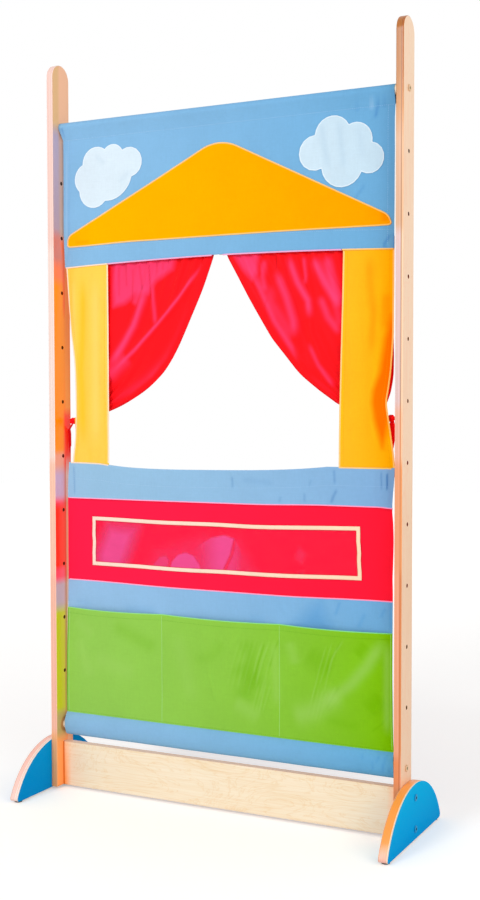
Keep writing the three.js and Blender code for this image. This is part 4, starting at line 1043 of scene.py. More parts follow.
def dressed_copy(node, material, slot, ease):
    """A merged, smoothed copy of a hard CAD part, with its arrises eased by some tenths of a millimetre."""
    only(frame["nodes"][node])
    bpy.ops.object.duplicate()
    piece = bpy.context.object
    piece.parent = None
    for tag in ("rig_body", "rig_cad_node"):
        del piece[tag]
    piece.name = piece.data.name = node + ".finished"
    bpy.ops.object.mode_set(mode="EDIT")
    bpy.ops.mesh.select_all(action="SELECT")
    bpy.ops.mesh.remove_doubles(threshold=0.00002)
    bpy.ops.object.mode_set(mode="OBJECT")
    if ease:
        rim = piece.modifiers.new("Eased arris", "BEVEL")
        rim.width, rim.segments, rim.angle_limit = ease * MM, 2, math.radians(40)
        bpy.ops.object.modifier_apply(modifier=rim.name)
    bpy.ops.object.shade_smooth_by_angle(angle=math.radians(32))
    flats = piece.modifiers.new("Flat faces stay flat", "WEIGHTED_NORMAL")
    flats.keep_sharp = True
    bpy.ops.object.modifier_apply(modifier=flats.name)
    return finish_piece(piece, material, stands_for=[node])


for part in HARD_PARTS:
    dressed_copy(*part)
print("hard parts dressed:", len(HARD_PARTS))

# %% [markdown]
# ## Banner
# The banner is one length of cloth. It starts at its turned-up hem behind the valance, folds round
# to the front, runs up to the stitch line, goes over the rod and comes down behind to the stitches.
# A list of rows says where each lies in depth and height, and the grid is bent along that list.

# %% Banner with its sleeve and hem
FRONT_Y = -0.2 * MM
CLOTH_THICKNESS = 0.6 * MM
SLEEVE_RADIUS = ROD_RADIUS + 0.75 * MM
LEAN = math.acos(SLEEVE_RADIUS / (UPPER_ROD_Z - STITCH_Z))
SLEEVE_FLARE = 5.4 * MM

banner_rows = [(0.45 * MM, 0, height * MM) for height in (13, 9, 5, 1.2)]
banner_rows += [(0.12 * MM, 0, 0), (FRONT_Y, 0, 0.8 * MM)]
banner_rows += [(FRONT_Y, share, 0) for share in np.linspace(0.02, 1, 62)]
for turn in np.linspace(1.5 * math.pi - LEAN, LEAN - math.pi / 2, 22):
    banner_rows.append((SLEEVE_RADIUS * math.cos(turn), 1, UPPER_ROD_Z + SLEEVE_RADIUS * math.sin(turn) - STITCH_Z))
last_depth, _, last_extra = banner_rows[-1]
banner_rows += [(mix(last_depth, 0.9 * MM, share), 1, last_extra * (1 - share)) for share in (0.25, 0.5, 0.75, 1)]
banner_depth, banner_share, banner_extra, banner_row = by_rows(banner_rows)


def place_banner(u, v):
    """The sleeve's left end reaches out to its upright, which the flare does."""
    row = banner_row(v)
    share, extra = banner_share[row], banner_extra[row]
    x = across_front(mix(VALANCE_Z, STITCH_Z, share) + extra, u)
    x = x - SLEEVE_FLARE * (1 - u) * np.where(share == 1, smooth(0, 26 * MM, extra), 0)
    z = mix(valance_edge(x), STITCH_Z, share) + extra
    return x, banner_depth[row] + billow(x, z), z


banner = cloth("banner.cloth", 180, len(banner_rows) - 1, place_banner, CLOTH_THICKNESS)
finish_piece(banner, "Sky cotton", stands_for=["banner"])
paint(banner, "fold_shadow", painted([
    ([(330, 1364), (327, 1345), (321, 1322)], 3.2, 0.5), ([(337, 1362), (340, 1340)], 3, 0.35),
    ([(284, 1362), (288, 1338)], 3, 0.25), ([(352, 1114), (346, 1102), (340, 1095), (344, 1081)], 3, 0.6),
    ([(358.5, 1118), (358.5, 1080)], 2.2, 0.8), ([(304, 1208), (280, 1178)], 3, 0.25),
    ([(-352, 1340), (-353, 1140), (-352, 1090)], 1.6, 0.3), ([(-371, 1374), (-366, 1350)], 1.6, 0.7),
    ([(-364, 1372), (-360, 1356)], 1.4, 0.5), ([(60, 1368), (64, 1350)], 4, 0.15),
]))
paint(banner, "fold_light", painted([
    ([(-358, 1340), (-359, 1140), (-358, 1090)], 2.5, 0.3), ([(318, 1366), (314, 1340)], 4, 0.3),
]))

# %% [markdown]
# ## Gable, piping and clouds
# These are cut from other cloth and sewn flat on the banner. The gable's grid has upright columns
# that end on the roof line, so it follows the banner's waves. A cloud is a fan of rings that shrink
# to its middle. A bead of piping and a close row of edge stitching cover the raw edges.

# %% Gable
GABLE_X = CLOTH_X + 3 * MM
GABLE_HALF = CLOTH_WIDTH / 2 - 9 * MM
GABLE_BASE = VALANCE_Z + 38 * MM
GABLE_WALL, GABLE_RISE = 19 * MM, 189 * MM
APPLIQUE_LIFT = 1.05 * MM


def rounded_outline(corners, radii, steps=12):
    """A polygon's points with each corner rounded to its own radius."""
    outline = []
    for i, corner in enumerate(np.array(corners, float)):
        before = np.array(corners[i - 1]) - corner
        after = np.array(corners[(i + 1) % len(corners)]) - corner
        before, after = before / np.linalg.norm(before), after / np.linalg.norm(after)
        half = math.acos(np.clip(before @ after, -1, 1)) / 2
        centre = corner + (before + after) / np.linalg.norm(before + after) * radii[i] / math.sin(half)
        first = corner + before * radii[i] / math.tan(half) - centre
        start = math.atan2(first[1], first[0])
        for turn in np.linspace(start, start + math.pi - 2 * half, steps):
            outline.append((centre[0] + radii[i] * math.cos(turn), centre[1] + radii[i] * math.sin(turn)))
    return outline


def gable_outline(grow):
    half, base = GABLE_HALF + grow, GABLE_BASE - grow
    pitch = math.atan2(GABLE_RISE - GABLE_WALL, GABLE_HALF)
    shoulder = GABLE_BASE + GABLE_WALL + grow * math.tan(math.pi / 4 - pitch / 2)
    apex = GABLE_BASE + GABLE_RISE + grow / math.cos(pitch)
    corners = [(-half, base), (half, base), (half, shoulder - 3 * MM), (0, apex), (-half, shoulder)]
    radii = [size * MM + grow for size in (2, 2, 24, 86, 15)]
    return rounded_outline([(GABLE_X + x, z) for x, z in corners], radii)


def gable_foot(x):
    """The gable's foot is a little higher in its middle, where the banner was pulled when it was sewn."""
    return 4 * MM * smooth(-0.352, -0.19, x) - 1.5 * MM * smooth(0.1, 0.34, x)


roof = sorted(point for point in gable_outline(0) if point[1] > GABLE_BASE + GABLE_WALL / 2)
roof_x, roof_z = np.array(roof).T


def place_gable(u, v):
    x = mix(GABLE_X - GABLE_HALF, GABLE_X + GABLE_HALF, u)
    z = mix(GABLE_BASE + gable_foot(x), np.interp(x, roof_x, roof_z), v)
    return x, billow(x, z) - APPLIQUE_LIFT, z


gable = cloth("gable.cloth", 180, 46, place_gable, CLOTH_THICKNESS)
finish_piece(gable, "Orange cotton", stands_for=["gable"])
paint(gable, "fold_shadow", painted([([(343, 1134), (338, 1160)], 6, 0.5), ([(-340, 1136), (-300, 1136)], 4, 0.2)]))
PIPING_WIDTH = 2.8 * MM
piping_line = resample([(x, 0, z) for x, z in gable_outline(PIPING_WIDTH / 2)], 6 * MM, True)[:-1]
piping_line[:, 2] += gable_foot(piping_line[:, 0]) * smooth(GABLE_BASE + 9 * MM, GABLE_BASE, piping_line[:, 2])
piping_path = front_path(piping_line[:, [0, 2]], 1.3 * MM, 3 * MM, closed=True)
piping = bead("gable.piping", piping_path, PIPING_WIDTH, 0.9 * MM, closed=True)
finish_piece(piping, "Peach piping", stands_for=["gable_piping"])

# %% Clouds
LEFT_CLOUD = [
    (-0.05, -0.4), (0.23, -0.28), (0.34, -0.04), (0.48, 0.28), (0.21, 0.39), (0.09, 0.5), (-0.05, 0.43),
    (-0.29, 0.44), (-0.38, 0.21), (-0.5, 0), (-0.43, -0.22), (-0.24, -0.5),
]
RIGHT_CLOUD = [
    (-0.23, -0.22), (0.07, -0.5), (0.24, -0.31), (0.5, -0.14), (0.36, 0.08), (0.31, 0.3), (0.09, 0.35), (-0.11, 0.5),
    (-0.31, 0.25), (-0.49, 0.09),
]


def arc_through(start, crown, end, steps=9):
    """Points of the circle that runs from a notch over a crown towards the next notch."""
    (ax, ay), (bx, by) = crown - start, end - start
    cross = 2 * (ax * by - ay * bx)
    a2, b2 = ax * ax + ay * ay, bx * bx + by * by
    centre = start + np.array([by * a2 - ay * b2, ax * b2 - bx * a2]) / cross
    radius = np.linalg.norm(start - centre)
    first = math.atan2(*(start - centre)[::-1])
    last = math.atan2(*(end - centre)[::-1])
    if last < first:
        last += TURN
    return [centre + radius * np.array([math.cos(t), math.sin(t)]) for t in np.linspace(first, last, steps + 1)[:-1]]


def make_cloud(name, shares, middle, size, folds):
    """A cloud of round lobes, sewn on the banner, with a raised line of stitching round it."""
    spots = [np.array(middle) + np.array(share) * np.array(size) for share in shares]
    outline = []
    for i in range(0, len(spots), 2):
        outline += arc_through(spots[i], spots[i + 1], spots[(i + 2) % len(spots)])
    outline = np.array(outline)
    rings = 16
    points, faces = [], []
    for ring in range(rings):
        points += list(mix(np.array(middle), outline, 1 - ring / rings))
    points.append(np.array(middle))
    count = len(outline)
    for ring in range(rings):
        for i in range(count):
            here, beside = ring * count + i, ring * count + (i + 1) % count
            if ring < rings - 1:
                faces.append((here, beside, beside + count, here + count))
            else:
                faces.append((here, beside, len(points) - 1))
    x, z = np.array(points).T
    raised = sum(height * MM * stroke(path, x, z, width) for path, width, height in folds)
    y = billow(x, z) - APPLIQUE_LIFT - np.clip(raised, -0.3 * MM, 1)
    piece = mesh_piece(f"{name}.cloth", np.stack([x, y, z], 1), faces)
    if sum(face.normal.y for face in piece.data.polygons) > 0:
        piece.data.flip_normals()
    thicken(piece, CLOTH_THICKNESS)
    finish_piece(piece, "Cloud cotton", stands_for=[name])
    paint(piece, "fold_shadow", painted([(path, width * 0.8, value) for path, width, value in folds]))
    edge = bead(f"{name}.edge", front_path(outline, 1.3 * MM, 2.5 * MM, closed=True), 2.2 * MM, 0.5 * MM, closed=True)
    finish_piece(edge, "Cloud edge thread")
    return edge


cloud_edges = [
    make_cloud("left_cloud", LEFT_CLOUD, (-256 * MM, 1270.5 * MM), (160 * MM, 123 * MM), [
        ([(-290, 1312), (-262, 1290)], 6, 0.18), ([(-230, 1250), (-205, 1272)], 7, 0.18),
    ]),
    make_cloud("right_cloud", RIGHT_CLOUD, (255 * MM, 1275.5 * MM), (168 * MM, 131 * MM), [
        ([(214, 1335), (222, 1280), (232, 1235)], 8, 0.32), ([(250, 1335), (262, 1232)], 8, 0.3),
        ([(288, 1318), (300, 1250)], 8, 0.22),
    ]),
]

# %% [markdown]
# ## Yellow strips
# A strip hangs on each side of the stage window, behind the valance and the waist band. The ties
# pull its outer edge in, so it stands forward in soft upright folds at that height.

# %% Strips
STRIP_Y = 1.25 * MM
STRIP_FOLDS = {
    "left": [
        ([(-342, 1080), (-338, 900), (-330, 790), (-336, 690)], 11, 3.4),
        ([(-300, 1070), (-303, 880), (-306, 700)], 12, 2.2), ([(-275, 1000), (-272, 800)], 8, 1.2),
    ],
    "right": [
        ([(336, 1060), (330, 930), (318, 800), (328, 690)], 13, 6.0),
        ([(300, 1085), (305, 960), (312, 850)], 10, 2.4), ([(276, 1050), (274, 860), (280, 700)], 12, 1.4),
    ],
}
STRIP_PAINT = {
    "left": {
        "fold_shadow": painted([
            ([(-346, 1090), (-346, 1048)], 4, 0.25),
            ([(-322, 1085), (-320, 1001), (-322, 936), (-326, 874), (-323, 824), (-321, 700)], 9, 0.75),
            ([(-267, 1060), (-268, 912), (-270, 690)], 5, 0.22), ([(-309, 714), (-303, 682)], 4, 0.2),
        ]),
        "fold_light": painted([
            ([(-342, 1086), (-341, 900), (-338, 800), (-342, 700)], 5, 0.5), ([(-290, 1080), (-292, 700)], 9, 0.55),
            ([(-264, 1086), (-264, 696)], 3, 0.6),
        ]),
    },
    "right": {
        "fold_shadow": painted(
            [
                ([(310, 1086), (313, 1020), (320, 970), (318, 932), (315, 880)], 9, 0.3),
                ([(347, 1010), (346, 935)], 10, 0.3), ([(336, 742), (342, 712)], 6, 0.2),
            ],
            [([
                (354, 966), (343, 922), (333, 860), (320, 827), (318, 805), (323, 772), (331, 745), (338, 722),
                (345, 745), (350, 777), (352, 802), (356, 832), (360, 882), (362, 940),
            ], 6, 0.95)],
        ),
        "fold_light": painted([([(258, 1086), (257, 880), (256, 696)], 3, 0.8), ([(350, 740), (355, 700)], 3, 0.6)]),
    },
}


def make_strip(side):
    """A strip with its folds, its painted shades, and a hem and a row of stitches along both edges."""
    way = -1 if side == "left" else 1
    inner = CLOTH_X + way * STAGE_WIDTH / 2
    bottom, top = WAIST_TOP_Z - 14 * MM, VALANCE_Z + 18 * MM

    def inner_edge(z):
        """The right strip is drawn aside at its top, so its inner edge leans."""
        return inner + 0 * z if way < 0 else inner - 1 * MM + 8 * MM * smooth(690 * MM, 1150 * MM, z)

    def place(u, v):
        z = mix(bottom, top, v)
        x = mix(left_edge(z, LEFT_STRIP_DRAW), inner_edge(z), u) if way < 0 else mix(inner_edge(z), right_edge(z), u)
        free = smooth(bottom, bottom + 60 * MM, z) * smooth(0, 60 * MM, top - z)
        folds = sum(height * MM * stroke(path, x, z, width, 0.2) for path, width, height in STRIP_FOLDS[side])
        return x, STRIP_Y + billow(x, z) - folds * free, z

    piece = cloth(f"{side}_strip.cloth", 30, 110, place, CLOTH_THICKNESS, (106 * MM, top - bottom))
    finish_piece(piece, f"{side.capitalize()} yellow cotton", stands_for=[f"{side}_strip"])
    for label, value in STRIP_PAINT[side].items():
        paint(piece, label, value)
    rows = np.linspace(bottom + 14 * MM, top - 22 * MM, 120)
    width = np.abs(inner_edge(rows) - (left_edge(rows, LEFT_STRIP_DRAW) if way < 0 else right_edge(rows)))
    for label in ("inner", "outer"):
        from_left = (label == "outer") == (way < 0)
        for inset, sewn in ((1.6 * MM, False), (9 * MM, True)):
            share = inset / width if from_left else 1 - inset / width
            x, y, _ = place(share, (rows - bottom) / (top - bottom))
            if sewn:
                row = stitches(f"{side}_strip.{label}_stitches", np.stack([x, y - 0.4 * MM, rows], 1))
                finish_piece(row, "Yellow thread")
            else:
                edge = bead(f"{side}_strip.{label}_hem", np.stack([x, y - 0.25 * MM, rows], 1), 3.2 * MM, 0.3 * MM)
                finish_piece(edge, "Strip hem and painted edge glow")


for side in ("left", "right"):
    make_strip(side)

# %% [markdown]
# ## Lower cloth
# Below the window the front is sewn together from bands: a waist band with a deep hem, a red band,
# a blue backing with a green pocket front on it, and a sleeve round the lower rod. Bands that meet
# at a seam share their waves, and a fine bead lies along each seam.

# %% Waist band, red band and backing
SEAM_GAP = 0.3 * MM
WAIST_HEM = 35.5 * MM


def flat_band(bottom, top):
    """A rule for a plain band between two seams, each given by its height along x."""
    def place(u, v):
        x = across_front(mix(bottom(CLOTH_X), top(CLOTH_X), v), u)
        z = mix(bottom(x), top(x), v)
        return x, FRONT_Y + billow(x, z), z
    return place


waist_rows = [(FRONT_Y, share, 0) for share in np.linspace(0, 0.99, 20)]
waist_rows += [(0.12 * MM, 1, 0), (0.45 * MM, 1, -1 * MM)]
waist_rows += [(0.45 * MM, 1, -WAIST_HEM * share) for share in np.linspace(0.1, 1, 10)]
waist_depth, waist_share, waist_extra, waist_row = by_rows(waist_rows)


def place_waist(u, v):
    row = waist_row(v)
    x = across_front(mix(RED_TOP_Z + SEAM_GAP, WAIST_TOP_Z, waist_share[row]) + waist_extra[row], u)
    z = mix(red_top_edge(x) + SEAM_GAP, waist_edge(x), waist_share[row]) + waist_extra[row]
    return x, waist_depth[row] + billow(x, z), z


waist = cloth("waist_band.cloth", 360, len(waist_rows) - 1, place_waist, CLOTH_THICKNESS)
finish_piece(waist, "Waist sky cotton", stands_for=["waist_band"])
paint(waist, "fold_shadow", painted([
    ([(348.5, 677), (348, 641)], 1.7, 1.0), ([(336, 679), (337, 641)], 1.5, 0.5),
    ([(235, 613), (241, 628), (249, 644)], 3, 0.4), ([(242, 681), (244, 650)], 2.4, 0.35),
    ([(181, 634), (181, 616)], 3, 0.25), ([(131, 626), (127, 612)], 3, 0.2), ([(25, 662), (26, 636)], 2.4, 0.3),
    ([(-345, 680), (-344, 610)], 2, 0.35), ([(40, 655), (120, 650)], 6, 0.1), ([(196, 660), (190, 645)], 2.4, 0.2),
]))
place_red = flat_band(lambda x: red_foot_edge(x) + SEAM_GAP, red_top_edge)
red_band = cloth("red_band.cloth", 180, 44, place_red, CLOTH_THICKNESS)
finish_piece(red_band, "Red cotton", stands_for=["red_band"])
place_backing = flat_band(lambda x: HEM_TOP_Z + SEAM_GAP + 0 * x, red_foot_edge)
backing = cloth("pocket_backing.cloth", 180, 70, place_backing, CLOTH_THICKNESS)
finish_piece(backing, "Backing sky cotton", stands_for=["pocket_backing"])
paint(backing, "fold_shadow", painted(
    [
        ([(335, 404), (346, 425)], 3, 0.35), ([(243, 400), (256, 434)], 3, 0.35), ([(290, 380), (306, 414)], 4, 0.3),
        ([(355, 440), (356, 380)], 2, 0.3), ([(-230, 384), (-140, 386)], 8, 0.12),
        ([(-345, 392), (-300, 388)], 7, 0.1), ([(100, 384), (60, 386)], 7, 0.12),
    ],
    [([(150, 370), (178, 396), (196, 414), (214, 424), (222, 404), (236, 382), (240, 368)], 16, 0.5)],
))

# %% Pocket front
POCKET_SEAMS = [-134.5 * MM, 128.5 * MM]
POCKET_HEIGHT = 221 * MM
POCKET_FOLDS = [
    ([(53, 217), (80, 281), (107, 344)], 2.2, 0.8), ([(62, 232), (88, 300), (100, 335)], 2.0, 0.7),
    ([(44, 222), (60, 262), (72, 300)], 2.2, 0.6), ([(72, 222), (96, 285), (112, 330)], 2.0, 0.7),
    ([(84, 212), (104, 262), (116, 300)], 2.2, 0.6), ([(96, 206), (112, 240)], 2.0, 0.5),
    ([(20, 330), (34, 356)], 2.4, 0.5), ([(-10, 325), (12, 362)], 2.6, 0.5), ([(36, 330), (52, 360)], 2.2, 0.5),
    ([(-26, 292), (-18, 250), (-6, 214)], 4, 0.9), ([(-60, 300), (-34, 306)], 4, 0.6),
    ([(339, 361), (288, 306), (217, 235)], 11, 2.0), ([(196, 240), (226, 286), (250, 330)], 2.4, 0.7),
    ([(208, 222), (244, 276), (262, 312)], 2.4, 0.7), ([(222, 214), (262, 262)], 2.4, 0.6),
    ([(236, 360), (216, 320), (206, 292)], 3.0, 0.7), ([(262, 365), (240, 330)], 2.6, 0.6),
    ([(330, 240), (296, 206)], 5, 0.9), ([(150, 290), (176, 296)], 6, 0.8), ([(-330, 330), (-322, 240)], 8, 0.9),
]


def pocket_spot(x_share, pocket, v):
    """Each pocket swells between its seams, most of all at its mouth, which sags a little."""
    level = mix(HEM_TOP_Z + SEAM_GAP, HEM_TOP_Z + POCKET_HEIGHT, v)
    seams = np.stack([left_edge(level), *(np.full(level.shape, seam) for seam in POCKET_SEAMS), right_edge(level)])
    picked = np.arange(len(level))
    x = mix(seams[pocket, picked], seams[pocket + 1, picked], x_share)
    swell = np.sin(math.pi * x_share) ** 0.8
    z = level - 1.5 * MM * np.sin(math.pi * x_share) * v
    bulge = 8.5 * MM * swell * np.sin(v * math.pi / 2)
    folds = sum(height * MM * stroke(path, x, z, width) for path, width, height in POCKET_FOLDS)
    return x, billow(x, z) - 1.25 * MM - bulge - folds * np.minimum(1, 6 * swell), z


def place_pockets(u, v):
    pocket = np.minimum((u * 3).astype(int), 2)
    return pocket_spot(u * 3 - pocket, pocket, v)


pockets = cloth("pocket_front.cloth", 360, 72, place_pockets, 0.7 * MM)
finish_piece(pockets, "Green cotton", stands_for=["pocket_front"])
# Fine creases fan out below the mouth of the right pockets, each a painted highlight beside painted shade.
CREASE_STARTS = [
    (48, 346), (60, 352), (72, 350), (84, 353), (97, 352), (110, 348), (122, 340), (232, 352), (243, 358), (255, 355),
]
LIGHT_CREASES = [
    ([(x, z), (x - 13 - z % 7, z - 46), (x - 30 - x % 9, z - 96 - 4 * (x % 9))], 1.4, 0.12 + 0.03 * (x % 6))
    for x, z in CREASE_STARTS
]
LIGHT_CREASES += [
    ([(x, 262 + x % 11), (x - 20, 200 - x % 7)], 1.5, 0.1 + 0.03 * (x % 5))
    for x in (206, 215, 223, 232, 88, 97, 103, 112)
]
DARK_CREASES = [([(x + 4.6, z) for x, z in path], 1.3, 0.8 * value) for path, _, value in LIGHT_CREASES]
paint(pockets, "fold_light", painted(LIGHT_CREASES + [
    ([(348, 372), (311, 313), (280, 277), (247, 250), (207, 228)], 11, 0.5), ([(350, 368), (350, 180)], 7, 0.4),
    ([(262, 262), (200, 216), (150, 198)], 20, 0.5), ([(-336, 320), (-315, 270), (-300, 230)], 16, 0.4),
    ([(-296, 282), (-240, 262), (-190, 250)], 18, 0.35), ([(-345, 355), (-290, 322)], 12, 0.35),
    ([(-100, 350), (-60, 200)], 18, 0.25), ([(118, 352), (124, 210)], 9, 0.35), ([(150, 350), (165, 300)], 12, 0.3),
    ([(30, 220), (90, 190)], 16, 0.35), ([(95, 343), (81, 302), (75, 271)], 1.8, 0.22),
    ([(108, 344), (89, 288), (78, 252)], 1.8, 0.22), ([(106, 284), (95, 243), (84, 192)], 2, 0.2),
    ([(268, 364), (242, 323), (234, 286)], 2, 0.2), ([(250, 273), (232, 237)], 1.8, 0.2),
    ([(62, 330), (50, 290), (40, 240)], 2, 0.2),
]))
paint(pockets, "fold_shadow", painted(DARK_CREASES + [
    ([(260, 274), (242, 248), (224, 217)], 1.8, 0.5), ([(357, 230), (338, 205), (316, 188)], 2, 0.4),
    ([(130, 351), (117, 325), (108, 289)], 2, 0.45), ([(100, 343), (85, 296), (77, 262)], 1.6, 0.5),
    ([(340, 262), (312, 226)], 16, 0.45), ([(312, 356), (290, 330)], 12, 0.4), ([(186, 330), (244, 294)], 22, 0.35),
    ([(14, 338), (-15, 306), (-60, 290)], 12, 0.14), ([(40, 300), (66, 262), (50, 216)], 20, 0.4),
    ([(-250, 353), (-140, 304)], 16, 0.25), ([(60, 350), (84, 240)], 16, 0.3),
    ([(262, 360), (236, 318), (228, 286)], 1.6, 0.4), ([(-364.5, 374), (-366, 170)], 1.6, 0.9),
    ([(220, 205), (300, 195)], 10, 0.25),
]))


def on_pockets(u, v, lift):
    """Points on the pocket front, lifted towards the audience."""
    x, y, z = place_pockets(np.asarray(u, float), np.asarray(v, float))
    return np.stack([x, y - lift, z], 1)


across_all = np.linspace(0.001, 0.999, 240)
mouth = bead("pocket_front.mouth_edge", on_pockets(across_all, np.full(240, 1.0), 0.1 * MM), 2.0 * MM, 0.55 * MM)
finish_piece(mouth, "Green hem edge")
for index, share in enumerate((0.3333, 0.6667)):
    seam = on_pockets(np.full(60, share), np.linspace(0.01, 0.99, 60), 0.3 * MM)
    finish_piece(bead(f"pocket_front.seam_{index + 1}", seam, 1.2 * MM, 0.35 * MM), "Green seam")
for label, level in (("mouth", 0.95), ("foot", 0.012)):
    row = stitches(f"pocket_front.{label}_stitches", on_pockets(across_all, np.full(240, level), 0.42 * MM))
    finish_piece(row, "Green thread")
for label, edge in (("left", 0.003), ("left_hem", 0.0079), ("right", 0.996)):
    rows = on_pockets(np.full(60, edge), np.linspace(0.01, 0.99, 60), 0.3 * MM)
    finish_piece(bead(f"pocket_front.{label}_edge", rows, 1.4 * MM, 0.3 * MM),
                 "Green thread" if label == "left" else "Green seam")

# %% [markdown]
# The hem is a loose tube of cloth. It hangs from the lowest seam, goes round the rod with room to
# spare and comes back to the seam, so its section is a drop that is round below and pointed above.

# %% Hem sleeve
HEM_HALF_DEPTH, HEM_RISE, HEM_DROP = 9.9 * MM, 26.2 * MM, 21 * MM
hem_rows = []
for turn in np.linspace(0.5 * math.pi, 2.5 * math.pi, 57):
    depth, rise = -math.cos(turn), math.sin(turn)
    if rise > 0:
        hem_rows.append((HEM_HALF_DEPTH * depth * math.sqrt(abs(depth)), LOWER_ROD_Z + rise * HEM_RISE))
    else:
        hem_rows.append((HEM_HALF_DEPTH * depth, LOWER_ROD_Z + rise * HEM_DROP))
hem_depth, hem_height, hem_row = by_rows(hem_rows)


def place_hem(u, v):
    row = hem_row(v)
    z = hem_height[row]
    x = across_front(z, u)
    wander = 0.35 * MM * np.sin(TURN * (x * 4.1 + z * 9)) + 0.2 * MM * np.sin(TURN * (x * 11.7 - z * 21))
    return x, hem_depth[row] + wander * smooth(0, 12 * MM, HEM_TOP_Z - z), z


hem = cloth("hem_sleeve.cloth", 180, len(hem_rows) - 1, place_hem, CLOTH_THICKNESS)
finish_piece(hem, "Hem sky cotton", stands_for=["hem_sleeve"])
paint(hem, "fold_shadow", painted([
    ([(336, 149), (332, 134)], 2.2, 0.5), ([(348, 144), (342, 113)], 2.4, 0.55), ([(361, 134), (355, 114)], 2, 0.5),
    ([(322, 140), (326, 118)], 2.4, 0.35), ([(300, 150), (306, 136)], 2.4, 0.3), ([(352, 152), (346, 140)], 1.8, 0.4),
]))

# %% Seams and rows of stitches on the front
def level_line(height, count=121):
    """A line of (x, z) points at one height, from edge to edge."""
    z = np.full(count, height)
    return list(zip(across_front(z, np.linspace(0.003, 0.997, count)), z))


def follow(edge, drop, start, end, count=121):
    """A line of (x, z) points that runs a little below an edge of the cloth."""
    x = np.linspace(start, end, count)
    return list(zip(x, edge(x) - drop))


def side_line(edge, inset, bottom, top, count=60):
    """A line of (x, z) points beside one of the cloth's side edges."""
    return [(edge(z) + inset, z) for z in np.linspace(bottom, top, count)]


SEAM_SPAN = (CLOTH_X - CLOTH_WIDTH / 2 + 9 * MM, CLOTH_X + CLOTH_WIDTH / 2 + 1 * MM)
SEAMS = [
    ("red_top", follow(red_top_edge, -0.2 * MM, *SEAM_SPAN), "Pink seam", "red_cloth", 2.2),
    ("red_foot", follow(red_foot_edge, -0.2 * MM, *SEAM_SPAN), "Pink seam", "red_cloth", 2.2),
    # A thin dark red bead just below the red band's top seam is a painted shadow line.
    ("red_top_shade_line", follow(red_top_edge, 1.9 * MM, *SEAM_SPAN), "Dark red thread and painted shade", "red_cloth", 1.1),
    ("pocket_foot", level_line(HEM_TOP_Z + 0.2 * MM), "Green hem edge", "green_cloth", 2.4),
]
# The valance's and the waist band's edges carry painted light: lilac by the curtains, pale yellow by the strips.
EDGES = [
    ("valance_left", valance_edge, -361, -261, "Strip hem and painted edge glow"),
    ("valance_middle_left", valance_edge, -260, -18, "Painted lilac edge glow"),
    ("valance_middle_right", valance_edge, 6, 256, "Painted lilac edge glow"),
    ("valance_right", valance_edge, 257, 358, "Strip hem and painted edge glow"),
    ("waist_left", waist_edge, -352, -261, "Strip hem and painted edge glow"), ("waist_right", waist_edge, 252, 356, "Strip hem and painted edge glow"),
]
for label, edge, start, end, material in EDGES:
    path = front_path(follow(edge, 1.1 * MM, start * MM, end * MM, 90), 0.35 * MM)
    finish_piece(bead(f"edge.{label}", path, 2.7 * MM, 0.3 * MM), material)
for label, line, material, slot, width in SEAMS:
    line = bead(f"seam.{label}", front_path(line, 0.55 * MM), width * MM, 0.35 * MM)
    finish_piece(line, material)
cloth_left, cloth_right = CLOTH_X - CLOTH_WIDTH / 2 + 3 * MM, CLOTH_X + CLOTH_WIDTH / 2 - 3 * MM
STITCH_LINES = [
    ("sleeve", level_line(STITCH_Z), "Sky thread", "sky_cloth"),
    ("valance", follow(valance_edge, -34 * MM, cloth_left, cloth_right), "Sky thread", "sky_cloth"),
    ("left_banner_hem", side_line(left_edge, 13 * MM, VALANCE_Z + 4 * MM, STITCH_Z), "Sky thread", "sky_cloth"),
    ("right_banner_hem", side_line(right_edge, -13 * MM, VALANCE_Z + 4 * MM, STITCH_Z), "Sky thread", "sky_cloth"),
    ("waist", follow(waist_edge, WAIST_HEM - 1 * MM, cloth_left + 21 * MM, cloth_right - 4 * MM), "Sky thread",
     "sky_cloth"),
    ("left_waist_hem", side_line(left_edge, 14 * MM, RED_TOP_Z + 4 * MM, WAIST_TOP_Z - 6 * MM, 20), "Sky thread",
     "sky_cloth"),
    ("red_top", follow(red_top_edge, 4.2 * MM, *SEAM_SPAN), "Dark red thread and painted shade", "red_cloth"),
    ("red_foot", follow(red_foot_edge, -3.8 * MM, *SEAM_SPAN), "Dark red thread and painted shade", "red_cloth"),
]
for label, line, material, slot in STITCH_LINES:
    row = stitches(f"{label}.stitches", front_path(line, 0.52 * MM, STITCH_PITCH))
    finish_piece(row, material)

# %% [markdown]
# ## Card window
# A strip of clear vinyl lies on the red band under a frame of cream tape. It bulges a little where
# it has been bent, and glare is painted on the bulges as pale patches. The tape is mitred at its
# corners, and a painted shadow line of dark red lies beside it.

# %% Card window and its tape
CARD_X, CARD_HALF = CLOTH_X + 3 * MM, 298 * MM
CARD_LOW, CARD_HIGH = BACKING_TOP_Z + 34 * MM, BACKING_TOP_Z + 134 * MM
TAPE_WIDTH = 7.6 * MM
CARD_TOP_SHIFT = [(-0.301, 0), (-0.06, -0.0025), (0.06, -0.0025), (0.18, 0), (0.295, 0.0035)]
CARD_LOW_SHIFT = [(-0.301, -0.001), (-0.06, -0.003), (0.06, -0.003), (0.18, -0.0005), (0.295, 0.0026)]


def card_spot(x, z):
    """Where a point of the window lies, as the window was sewn on a little out of true."""
    share = (z - CARD_LOW) / (CARD_HIGH - CARD_LOW)
    up = mix(read_table(CARD_LOW_SHIFT, x, 0.02), read_table(CARD_TOP_SHIFT, x, 0.02), share)
    return x + smooth(0.2, 0.298, x) * mix(1.4 * MM, -2 * MM, share), z + up


